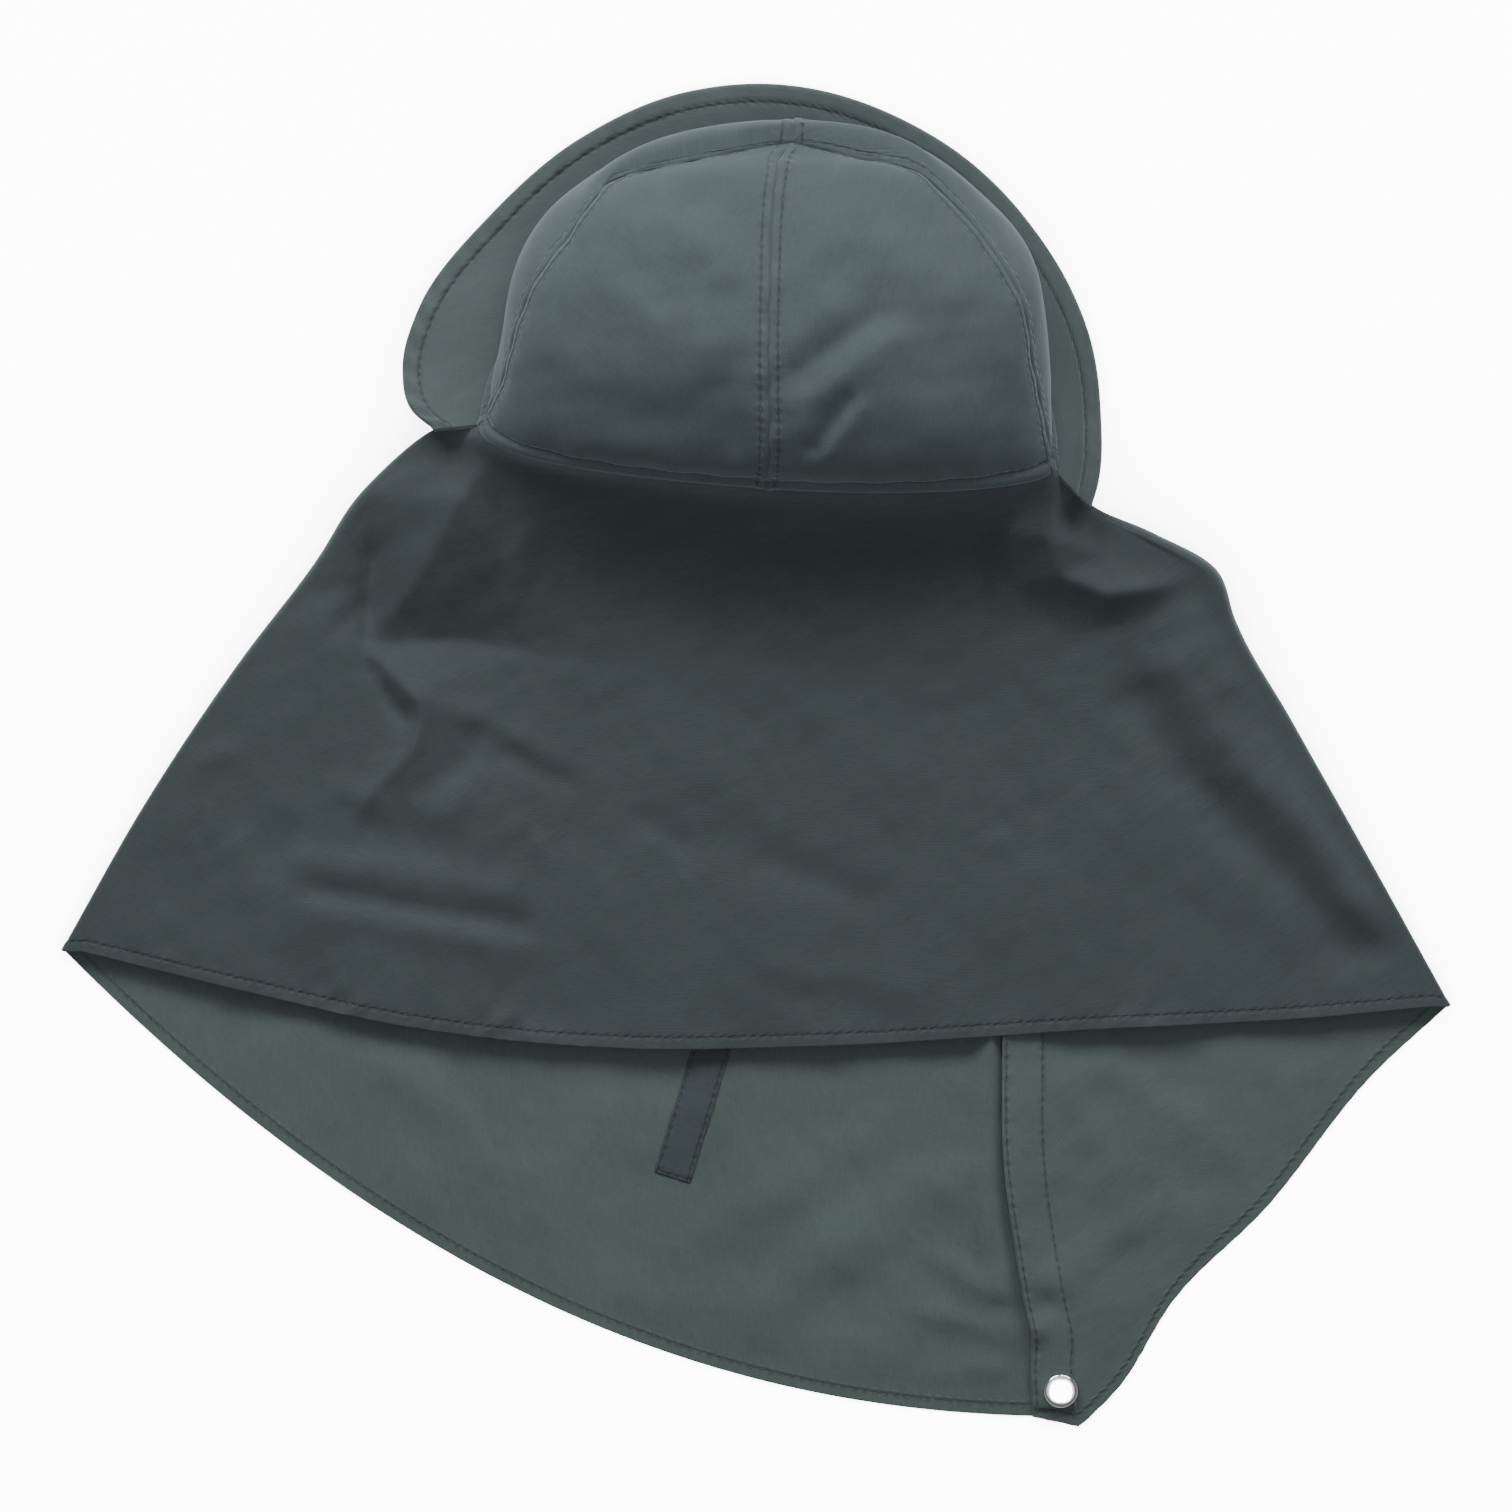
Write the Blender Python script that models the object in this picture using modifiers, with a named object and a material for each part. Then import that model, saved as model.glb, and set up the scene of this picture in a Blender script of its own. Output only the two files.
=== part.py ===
"""Sun cap with a long neck cape, lying flat with its back upwards.

Metres, +Z up. The origin is under the middle of the whole cap, on the surface it lies on.
The nape of the cap faces -Y and its brim points to +Y.
"""
import math

import bmesh
import bpy
import numpy as np

# Head ring, the oval where crown, brim and cape meet
RING_WIDTH = 0.240
NAPE_DEPTH = 0.0173
BROW_DEPTH = 0.0837
NAPE_HEIGHT = 0.058
TEMPLE_HEIGHT = 0.042
BROW_HEIGHT = 0.0055
HEAD_X = 0.0048
HEAD_TURN = math.radians(-4.5)
LEFT_FULLNESS = 2.6
RIGHT_FULLNESS = 1.8

# Crown
CROWN_REACH = 0.1355
CROWN_RISE = 0.098
CROWN_WALL = 0.0012
SEAM_GAP = 0.0007
TIP_TRIM = 0.985
FULLNESS_REACH = 0.3
DENT_START = 0.1
DENT_SIDE_FADE = 4
PANEL_COLUMNS = 8
PANEL_ROWS = 14

# Brim
BRIM_WIDTH = 0.0712
BRIM_WALL = 0.002
BRIM_START = math.radians(3.5)
BRIM_BOW = 0.8
BRIM_COLUMNS = 36
BRIM_ROWS = 5

# Cape
CAPE_SPAN = 0.5872
CAPE_LENGTH = 0.2366
FRONT_DROP = 0.1588
CAPE_WALL = 0.0012
RING_SEAM_GAP = 0.0004
FOLD_START = math.radians(85)
TEMPLE_FOLD_RADIUS = 0.0018
FOLD_REACH = 0.24
EDGE_FADE = 0.04
HEM_SWEEP = 2.2
FACE_EDGE_SAG = 0.15
LEFT_TIP_BACK = 0.818
RIGHT_TIP_BACK = 0.917
FOLD_FALL = 4
CAPE_ROWS = 20
ROW_GROWTH = 1.25
FRONT_COLUMNS = 12
FOLD_COLUMNS = 4
BACK_COLUMNS = 28

# Placket, where the right front piece lies over the left one
PLACKET_X = 0.104
PLACKET_LENGTH = 0.240
PLACKET_SWAY = 0.013
OVERLAP = 0.020
LAYER_GAP = 0.0003
HEM_CORNER_DROP = 0.0042
STEP_DOWN = 0.025
FACING_WIDTH = 0.018
FACING_WALL = 0.001
FACING_INSET = 0.0008
FACING_TOP = 0.02
FACING_END = 0.985

# Tab
TAB_WIDTH = 0.0165
TAB_LENGTH = 0.095
TAB_WALL = 0.001
TAB_LEAN = math.radians(17)
TAB_X = -0.0356
TAB_RISE = 0.105

# Snap
SNAP_RADIUS = 0.0075
SNAP_HEIGHT = 0.0022
SNAP_INSET = 0.0118
SNAP_UP = 0.0155
POST_RADIUS = 0.0026
POST_CLEARANCE = 0.0003

# Half section of the snap's cap, as shares of its radius and its height
SNAP_OUTLINE = [(0, 1), (0.5, 0.95), (0.85, 0.7), (1, 0.3), (1, 0), (0, 0)]

HEAD_Y = (NAPE_DEPTH + CAPE_LENGTH + FRONT_DROP - BROW_DEPTH - BRIM_WIDTH) / 2
NAPE_Y = HEAD_Y - NAPE_DEPTH
HEM_Y = NAPE_Y - CAPE_LENGTH
CORNER_Y = HEM_Y - FRONT_DROP
HALF_RING = RING_WIDTH / 2
HALF_SPAN = CAPE_SPAN / 2

# Crown sections from the ring up to the tip. Each names its points at the centre back seam,
# the centre front seam and the two side seams: across as shares of half the ring's width,
# forward of CROWN_REACH, up of CROWN_RISE. Swell pushes the front panels out past the side seams.
CROWN_COLUMNS = "rise back_across back_forward back_up front_forward front_up " \
    "left_across left_forward left_up right_across right_forward right_up swell"
CROWN_SECTIONS = [
    (0.15, 0.010, -0.070, 0.790, 0.723, 0.112, -0.930, 0.130, 0.590, 0.945, 0.140, 0.570, 0.22),
    (0.30, 0.000, 0.074, 0.930, 0.819, 0.204, -0.890, 0.295, 0.704, 0.880, 0.320, 0.694, 0.32),
    (0.45, -0.020, 0.266, 1.000, 0.900, 0.316, -0.833, 0.443, 0.765, 0.835, 0.480, 0.745, 0.28),
    (0.60, -0.034, 0.472, 0.990, 0.967, 0.439, -0.733, 0.583, 0.776, 0.733, 0.620, 0.765, 0.16),
    (0.75, -0.045, 0.679, 0.918, 1.000, 0.551, -0.650, 0.708, 0.755, 0.583, 0.762, 0.735, 0.06),
    (0.87, -0.040, 0.834, 0.816, 0.993, 0.633, -0.560, 0.780, 0.694, 0.400, 0.870, 0.673, 0.00),
    (0.95, -0.035, 0.890, 0.720, 0.962, 0.643, -0.300, 0.850, 0.640, 0.200, 0.895, 0.630, 0.00),
    (1.00, -0.020, 0.915, 0.590, 0.930, 0.590, -0.040, 0.922, 0.590, 0.020, 0.922, 0.590, 0.00),
]

# Brim stations from the right temple round the brow to the left temple: width as a share of
# BRIM_WIDTH, bearing in degrees from straight ahead, lift of the outer edge of TEMPLE_HEIGHT.
BRIM_TABLE_COLUMNS = "along width bearing lift"
BRIM_STATIONS = [
    (0.00, 0.313, 131, 0.80),
    (0.05, 0.316, 103, 0.60),
    (0.10, 0.355, 92, 0.36),
    (0.20, 0.510, 71, 0.10),
    (0.30, 0.690, 53, 0.02),
    (0.40, 0.880, 27, 0.00),
    (0.50, 1.000, 5, 0.00),
    (0.60, 0.985, -7, 0.00),
    (0.70, 0.855, -19, 0.02),
    (0.80, 0.690, -36, 0.08),
    (0.90, 0.605, -62, 0.28),
    (0.95, 0.535, -78, 0.46),
    (0.975, 0.440, -92, 0.70),
    (1.00, 0.275, -100, 0.90),
]

# The cape's two side folds, from the temple down to the tip: across and back as shares of the way
# from temple to tip, top and bottom of the fold as shares of TEMPLE_HEIGHT, bearing of its edge.
FOLD_TABLE_COLUMNS = "down across back top bottom bearing"
LEFT_FOLD = [
    (0.10, 0.125, 0.036, 0.56, 0.34, 140),
    (0.20, 0.284, 0.119, 0.50, 0.13, 147),
    (0.32, 0.395, 0.251, 0.38, 0.00, 149),
    (0.50, 0.572, 0.440, 0.31, 0.00, 147),
    (0.75, 0.798, 0.713, 0.24, 0.00, 148),
    (1.00, 1.000, 1.000, 0.17, 0.00, 150),
]
RIGHT_FOLD = [
    (0.10, 0.110, 0.066, 0.50, 0.28, 58),
    (0.19, 0.258, 0.115, 0.60, 0.16, 56),
    (0.27, 0.409, 0.179, 0.56, 0.04, 44),
    (0.35, 0.460, 0.275, 0.46, 0.00, 30),
    (0.55, 0.601, 0.463, 0.34, 0.00, 29),
    (0.78, 0.790, 0.715, 0.26, 0.00, 28),
    (1.00, 1.000, 1.000, 0.17, 0.00, 27),
]

# The back layer between the folds: how much of the drop from the ring is left, and how high
# the flat part lies as a share of TEMPLE_HEIGHT.
BACK_TABLE_COLUMNS = "down drop flat"
BACK_SECTIONS = [
    (0.00, 1.00, 0.34),
    (0.08, 0.70, 0.34),
    (0.16, 0.40, 0.34),
    (0.24, 0.16, 0.33),
    (0.33, 0.03, 0.31),
    (0.45, 0.00, 0.30),
    (0.75, 0.00, 0.27),
    (1.00, 0.00, 0.22),
]

# Main folds of the back layer and dents of the crown, each from one point to another: across as a
# share of half the span, back of CAPE_LENGTH behind the nape, height and width in metres.
RELIEF_COLUMNS = "from_across from_back to_across to_back height width"
BACK_FOLDS = [
    (-0.568, -0.005, -0.558, 0.272, 0.0045, 0.012),
    (-0.600, 0.060, -0.590, 0.270, -0.0030, 0.011),
    (-0.424, 0.010, -0.484, 0.086, 0.0060, 0.014),
    (-0.558, 0.272, -0.333, 0.284, 0.0030, 0.013),
    (-0.558, 0.277, -0.490, 0.363, 0.0045, 0.012),
    (-0.515, 0.400, -0.505, 0.380, -0.0040, 0.012),
    (-0.634, 0.707, -0.340, 0.775, -0.0030, 0.015),
    (0.446, 0.014, 0.450, 0.040, -0.0130, 0.013),
    (0.416, 0.010, 0.424, 0.147, 0.0060, 0.012),
    (0.438, 0.159, 0.640, 0.130, 0.0060, 0.014),
    (0.496, 0.205, 0.669, 0.195, -0.0035, 0.014),
    (0.544, 0.329, 0.745, 0.683, -0.0055, 0.017),
    (0.745, 0.683, 0.836, 0.805, -0.0055, 0.016),
    (0.745, 0.424, 0.809, 0.632, 0.0030, 0.014),
]
CROWN_DENTS = [
    (0.155, -0.300, 0.045, -0.195, -0.0050, 0.012),
    (0.124, -0.150, 0.074, -0.080, -0.0035, 0.010),
    (-0.050, -0.490, -0.010, -0.450, -0.0020, 0.012),
    (0.165, -0.400, 0.170, -0.360, -0.0025, 0.012),
]

# Back hem, across as a share of half the span, back of CAPE_LENGTH
BACK_HEM_COLUMNS = "across back"
BACK_HEM = [
    (-0.97, 0.829),
    (-0.75, 0.895),
    (-0.50, 0.962),
    (-0.20, 0.999),
    (0.10, 0.994),
    (0.50, 0.963),
    (0.80, 0.942),
    (0.97, 0.922),
]

# Hem of the right front piece, from the placket's corner to the tip
RIGHT_HEM_COLUMNS = "along across back"
RIGHT_HEM = [
    (0.00, 0.000, 0.000),
    (0.14, 0.120, 0.108),
    (0.30, 0.250, 0.293),
    (0.56, 0.520, 0.532),
    (0.80, 0.780, 0.820),
    (1.00, 1.000, 1.000),
]

# Front edge of the right front piece, from its top down
PLACKET_COLUMNS = "down sway"
PLACKET_EDGE = [
    (0.00, 0.00),
    (0.33, 0.00),
    (0.57, 0.07),
    (0.70, 0.40),
    (0.80, 0.72),
    (0.86, 0.95),
    (0.92, 0.92),
    (1.00, 1.00),
]


def column(names, rows, name):
    """One named column of a table."""
    return np.array([row[names.split().index(name)] for row in rows])


def spline(at, stations, values):
    """Smooth curve through the values given at the stations."""
    stations, values = np.asarray(stations, float), np.asarray(values, float)
    slopes = np.gradient(values, stations, axis=0)
    at = np.clip(at, stations[0], stations[-1])
    i = np.clip(np.searchsorted(stations, at, side="right") - 1, 0, len(stations) - 2)
    gap = stations[i + 1] - stations[i]
    t = (at - stations[i]) / gap
    if values.ndim > 1:
        gap, t = gap[:, None], t[:, None]
    return ((1 + 2 * t) * (1 - t) ** 2 * values[i] + t * (1 - t) ** 2 * gap * slopes[i]
            + t * t * (3 - 2 * t) * values[i + 1] + t * t * (t - 1) * gap * slopes[i + 1])


def smooth_step(t):
    t = np.clip(t, 0, 1)
    return t * t * (3 - 2 * t)


def relief(plan, rows):
    """Height that a table of folds or dents adds at the given places, seen from above."""
    height = np.zeros(len(plan))
    for row in rows:
        fold_at = dict(zip(RELIEF_COLUMNS.split(), row))
        start = np.array([fold_at["from_across"] * HALF_SPAN, NAPE_Y - fold_at["from_back"] * CAPE_LENGTH])
        end = np.array([fold_at["to_across"] * HALF_SPAN, NAPE_Y - fold_at["to_back"] * CAPE_LENGTH])
        along = np.clip((plan - start) @ (end - start) / ((end - start) @ (end - start)), 0, 1)
        away = np.linalg.norm(plan - start - along[:, None] * (end - start), axis=1)
        height += fold_at["height"] * np.exp(-(away / fold_at["width"]) ** 2)
    return height


def to_world(head):
    """Points of the head, given across, forward and up, turned and moved to their place."""
    across, forward, up = head[:, 0], head[:, 1], head[:, 2]
    return np.stack([
        HEAD_X + math.cos(HEAD_TURN) * across - math.sin(HEAD_TURN) * forward,
        HEAD_Y + math.sin(HEAD_TURN) * across + math.cos(HEAD_TURN) * forward,
        up,
    ], axis=1)


def crown_rails():
    """Stations up the crown, with its four seam lines and the swell of its front panels."""
    def rail(ring_point, across, forward, up):
        points = [HALF_RING * across, CROWN_REACH * forward, CROWN_RISE * up]
        return np.vstack([ring_point, np.stack(points, axis=1)])

    def part(name):
        return column(CROWN_COLUMNS, CROWN_SECTIONS, name)

    return (
        np.append(0, part("rise")),
        rail((0, -NAPE_DEPTH, NAPE_HEIGHT), part("back_across"), part("back_forward"), part("back_up")),
        rail((0, BROW_DEPTH, BROW_HEIGHT), 0 * part("rise"), part("front_forward"), part("front_up")),
        rail((-HALF_RING, 0, TEMPLE_HEIGHT), part("left_across"), part("left_forward"), part("left_up")),
        rail((HALF_RING, 0, TEMPLE_HEIGHT), part("right_across"), part("right_forward"), part("right_up")),
        np.append(0, part("swell")),
    )


def crown_surface(turn, rise):
    """Outside of the crown. Turn runs from the nape over the right temple, the brow and the
    left temple, in radians, and rise from the ring (0) to the tip (1)."""
    turn, rise = np.broadcast_arrays(np.atleast_1d(turn), np.atleast_1d(rise))
    stations, back, front, left, right, swell = crown_rails()
    is_right, is_back = (np.sin(turn) >= 0)[:, None], (np.cos(turn) >= 0)[:, None]
    sides = spline(rise, stations, left), spline(rise, stations, right)
    side = np.where(is_right, sides[1], sides[0])
    end = np.where(is_back, spline(rise, stations, back), spline(rise, stations, front))
    centre = (sides[0] + sides[1]) / 2
    outward = np.where(is_right[:, 0], 1, -1) * spline(rise, stations, swell) * HALF_RING
    centre[:, 0] -= np.where(is_back[:, 0], 0, outward)
    ring_fullness = np.where(is_back[:, 0], np.where(is_right[:, 0], RIGHT_FULLNESS, LEFT_FULLNESS), 2)
    fullness = 2 + (ring_fullness - 2) * (1 - smooth_step(rise / FULLNESS_REACH))
    to_side = np.abs(np.sin(turn))
    to_end = (1 - to_side ** fullness).clip(0) ** (1 / fullness)
    surface = to_world(centre + to_side[:, None] * (side - centre) + to_end[:, None] * (end - centre))
    depth = np.where(is_back[:, 0], smooth_step(rise / DENT_START) * (1 - to_side ** DENT_SIDE_FADE), 0)
    surface[:, 2] += depth * relief(surface[:, :2], CROWN_DENTS)
    return surface


def ring(turn):
    return crown_surface(turn, 0)


def coons(s, v, top, bottom, left, right):
    """Sheet stretched between four edges; top and bottom run along s, left and right along v."""
    zero, one = np.zeros(1), np.ones(1)
    s1, v1 = s[:, None], v[:, None]
    across = (1 - v1) * top(s) + v1 * bottom(s)
    down = (1 - s1) * left(v) + s1 * right(v)
    corners = ((1 - s1) * (1 - v1) * top(zero) + s1 * (1 - v1) * top(one)
               + (1 - s1) * v1 * bottom(zero) + s1 * v1 * bottom(one))
    return across + down - corners


def fold_line(v, side):
    """Top line of a side fold, its radius and the direction that it faces. Side is -1 or 1."""
    table, tip_back = (LEFT_FOLD, LEFT_TIP_BACK) if side < 0 else (RIGHT_FOLD, RIGHT_TIP_BACK)

    def part(name):
        return column(FOLD_TABLE_COLUMNS, table, name)

    temple = ring(side * math.pi / 2)[0] - (0, 0, RING_SEAM_GAP)
    start = ring(side * FOLD_START)[0] - (0, 0, RING_SEAM_GAP)
    tip = np.array([side * HALF_SPAN, NAPE_Y - tip_back * CAPE_LENGTH])
    edge = temple[:2] + np.stack([part("across"), part("back")], axis=1) * (tip - temple[:2])
    radius = TEMPLE_HEIGHT * (part("top") - part("bottom")) / 2
    facing = np.stack([np.cos(np.radians(part("bearing"))), np.sin(np.radians(part("bearing")))], axis=1)
    line = np.column_stack([edge - facing * radius[:, None], TEMPLE_HEIGHT * part("top")])
    stations = np.append(0, part("down"))
    line = spline(v, stations, np.vstack([start, line]))
    radius = np.minimum(spline(v, stations, np.append(TEMPLE_FOLD_RADIUS, radius)), line[:, 2] / 2)
    facing = spline(v, stations, np.vstack([facing[0], facing]))
    return line, radius, facing


def fold(s, v, side):
    """Half round of a side fold, from its top line (s = 0) down to its underside (s = 1)."""
    line, radius, facing = fold_line(v, side)
    angle = s * math.pi
    out = (radius * np.sin(angle))[:, None] * facing
    return np.column_stack([line[:, :2] + out, line[:, 2] - radius * (1 - np.cos(angle))])


def back_top(s):
    return ring((2 * s - 1) * FOLD_START) - (0, 0, RING_SEAM_GAP)


def back_hem(s):
    left, right = fold_line(np.ones(1), -1)[0][0], fold_line(np.ones(1), 1)[0][0]

    def hem_y(x):
        share = spline(x / HALF_SPAN, column(BACK_HEM_COLUMNS, BACK_HEM, "across"),
                       column(BACK_HEM_COLUMNS, BACK_HEM, "back"))
        return NAPE_Y - share * CAPE_LENGTH

    x = left[0] + s * (right[0] - left[0])
    ends = hem_y(np.array([left[0], right[0]]))
    y = hem_y(x) + (1 - s) * (left[1] - ends[0]) + s * (right[1] - ends[1])
    return np.column_stack([x, y, left[2] + s * (right[2] - left[2])])


def back_layer(s, v):
    """Outside of the cape's back, from the left fold (s = 0) to the right one (s = 1)."""
    plan = coons(s, v, back_top, back_hem,
                 lambda v: fold_line(v, -1)[0], lambda v: fold_line(v, 1)[0])

    def middle_height(s, v):
        down = column(BACK_TABLE_COLUMNS, BACK_SECTIONS, "down")
        drop = spline(v, down, column(BACK_TABLE_COLUMNS, BACK_SECTIONS, "drop"))
        flat = spline(v, down, column(BACK_TABLE_COLUMNS, BACK_SECTIONS, "flat"))
        return drop * back_top(s)[:, 2] + (1 - drop) * TEMPLE_HEIGHT * flat

    height = middle_height(s, v)
    for side, near in ((-1, s), (1, 1 - s)):
        edge = np.full_like(s, (side + 1) / 2)
        rise = fold_line(v, side)[0][:, 2] - middle_height(edge, v)
        height += rise * (1 - smooth_step(near / FOLD_REACH))
    fade = smooth_step(s / EDGE_FADE) * smooth_step((1 - s) / EDGE_FADE) * smooth_step(v / EDGE_FADE)
    return np.column_stack([plan[:, :2], height + fade * relief(plan[:, :2], BACK_FOLDS)])


def placket_edge(v):
    """Front edge of the right front piece, on the surface that the cap lies on."""
    sway = spline(v, column(PLACKET_COLUMNS, PLACKET_EDGE, "down"),
                  column(PLACKET_COLUMNS, PLACKET_EDGE, "sway"))
    y = CORNER_Y + HEM_CORNER_DROP + (1 - v) * PLACKET_LENGTH
    return np.column_stack([PLACKET_X + sway * PLACKET_SWAY, y, np.zeros_like(v)])


def front_layer(s, v, side):
    """Outside of a front piece, from its side fold (s = 0) to its placket edge (s = 1)."""
    under = OVERLAP if side < 0 else 0

    def fold_edge(v):
        line, radius, _ = fold_line(v, side)
        return line - np.column_stack([np.zeros((len(v), 2)), 2 * radius])

    def free_edge(v):
        return placket_edge(v) + (under, 0, 0)

    def hem(s):
        tip, end = fold_edge(np.ones(1))[0], free_edge(np.ones(1))[0]
        if side < 0:
            return tip + np.column_stack([s, 1 - (1 - s) ** HEM_SWEEP, s]) * (end - tip)
        corner = end + (OVERLAP, -HEM_CORNER_DROP, 0)
        reach = 1 - s / (1 - 1 / FRONT_COLUMNS)
        along = column(RIGHT_HEM_COLUMNS, RIGHT_HEM, "along")
        shares = np.column_stack([column(RIGHT_HEM_COLUMNS, RIGHT_HEM, "across"),
                                  column(RIGHT_HEM_COLUMNS, RIGHT_HEM, "back")])
        shares = spline(np.clip(reach, 0, 1), along, shares)
        curve = np.column_stack([corner[:2] + shares * (tip - corner)[:2], np.zeros_like(s)])
        return np.where(reach[:, None] < 0, corner + (-reach * (FRONT_COLUMNS - 1))[:, None] * (end - corner), curve)

    def face_edge(s):
        start, end = fold_edge(np.zeros(1))[0], free_edge(np.zeros(1))[0]
        bend = (start + end) / 2 + (0, -FACE_EDGE_SAG * (start[1] - end[1]), 0)
        s = s[:, None]
        return (1 - s) ** 2 * start + 2 * s * (1 - s) * bend + s * s * end

    plan = coons(s, v, face_edge, hem, fold_edge, free_edge)
    height = fold_edge(v)[:, 2] * (1 - s) ** FOLD_FALL
    if side > 0:
        beyond = (plan[:, 0] - free_edge(v)[:, 0] - OVERLAP) / STEP_DOWN
        height += (CAPE_WALL + LAYER_GAP) * (1 - smooth_step(beyond))
    return np.column_stack([plan[:, :2], height])


def cape_surface(u, v):
    """Outside of the whole cape, from the left placket edge round the back to the right one."""
    counts = np.array([FRONT_COLUMNS, FOLD_COLUMNS, BACK_COLUMNS, FOLD_COLUMNS, FRONT_COLUMNS])
    ends = np.cumsum(counts)
    position = u * ends[-1]
    part = np.clip(np.searchsorted(ends, position - 1e-6, side="left"), 0, 4)
    s = np.clip((position - (ends - counts)[part]) / counts[part], 0, 1)
    sheets = [
        lambda s, v: front_layer(1 - s, v, -1),
        lambda s, v: fold(1 - s, v, -1),
        back_layer,
        lambda s, v: fold(s, v, 1),
        lambda s, v: front_layer(s, v, 1),
    ]
    points = np.zeros((len(u), 3))
    for index, sheet in enumerate(sheets):
        chosen = part == index
        points[chosen] = sheet(s[chosen], v[chosen])
    return points


def brim_surface(along, out):
    """Top of the brim, from the right temple to the left one, and from the ring outwards."""
    def part(name):
        return spline(along, column(BRIM_TABLE_COLUMNS, BRIM_STATIONS, "along"),
                      column(BRIM_TABLE_COLUMNS, BRIM_STATIONS, name))

    turn = math.pi / 2 + BRIM_START + along * (math.pi - 2 * BRIM_START)
    inner = ring(turn) - (0, 0, RING_SEAM_GAP)
    bearing = np.radians(part("bearing")) - HEAD_TURN
    step = (BRIM_WIDTH * part("width") * out)[:, None]
    plan = inner[:, :2] + step * np.stack([np.sin(bearing), np.cos(bearing)], axis=1)
    edge = BRIM_WALL + TEMPLE_HEIGHT * part("lift")
    return np.column_stack([plan, inner[:, 2] + (edge - inner[:, 2]) * out ** BRIM_BOW])


def material(name, colour, roughness, metallic=0.0):
    new = bpy.data.materials.new(name)
    new.use_nodes = True
    shader = new.node_tree.nodes["Principled BSDF"]
    shader.inputs["Base Color"].default_value = (*colour, 1)
    shader.inputs["Roughness"].default_value = roughness
    shader.inputs["Metallic"].default_value = metallic
    return new


def sheet(name, columns, rows, surface, wall, finish):
    """Cloth of one thickness: a grid laid on a surface, thickened away from its outside."""
    grid = bmesh.new()
    bmesh.ops.create_grid(grid, x_segments=columns, y_segments=rows, size=0.5)
    places = np.array([vert.co[:] for vert in grid.verts]) + 0.5
    for vert, point in zip(grid.verts, surface(places[:, 0], places[:, 1])):
        vert.co = point
    mesh = bpy.data.meshes.new(name)
    grid.to_mesh(mesh)
    grid.free()
    mesh.shade_smooth()
    mesh.materials.append(finish)
    new = bpy.data.objects.new(name, mesh)
    cap.objects.link(new)
    wall_maker = new.modifiers.new("Wall", "SOLIDIFY")
    wall_maker.thickness = wall
    wall_maker.offset = -1
    return new


def crown_panels(cloth):
    """Four panels, each a quarter of the crown, trimmed along its side edges by half a seam gap."""
    for quarter, name in enumerate(("back_right", "front_right", "front_left", "back_left")):
        start = quarter * math.pi / 2

        def panel(across, up, start=start):
            rise = up * TIP_TRIM
            nudge = 0.01
            trims = []
            for edge in (start, start + math.pi / 2 - nudge):
                step = crown_surface(edge + nudge, rise) - crown_surface(edge, rise)
                trims.append(SEAM_GAP / 2 * nudge / np.linalg.norm(step, axis=1))
            return crown_surface(start + trims[0] + across * (math.pi / 2 - sum(trims)), rise)

        sheet(f"crown_panel_{name}", PANEL_COLUMNS, PANEL_ROWS, panel, CROWN_WALL, cloth)


def brim(cloth):
    sheet("brim", BRIM_COLUMNS, BRIM_ROWS,
          lambda across, out: brim_surface(1 - across, out), BRIM_WALL, cloth)


def placket_facing(cloth):
    top = 2 * (CAPE_WALL + LAYER_GAP) + FACING_WALL

    def strip(across, up):
        down = FACING_END - up * (FACING_END - FACING_TOP)
        edge = placket_edge(down)
        x = edge[:, 0] + FACING_INSET + across * FACING_WIDTH
        return np.column_stack([x, edge[:, 1], np.full_like(x, top)])

    return sheet("placket_facing", 2, 16, strip, FACING_WALL, cloth)


def tab_strap(cloth):
    along = np.array([math.sin(TAB_LEAN), math.cos(TAB_LEAN)])
    across_way = np.array([math.cos(TAB_LEAN), -math.sin(TAB_LEAN)])
    end = np.array([TAB_X, CORNER_Y + TAB_RISE])

    def strip(across, up):
        plan = end + np.outer(up * TAB_LENGTH, along) + np.outer((across - 0.5) * TAB_WIDTH, across_way)
        return np.column_stack([plan, np.full(len(plan), CAPE_WALL + LAYER_GAP + TAB_WALL)])

    sheet("tab_strap", 2, 8, strip, TAB_WALL, cloth)


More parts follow.
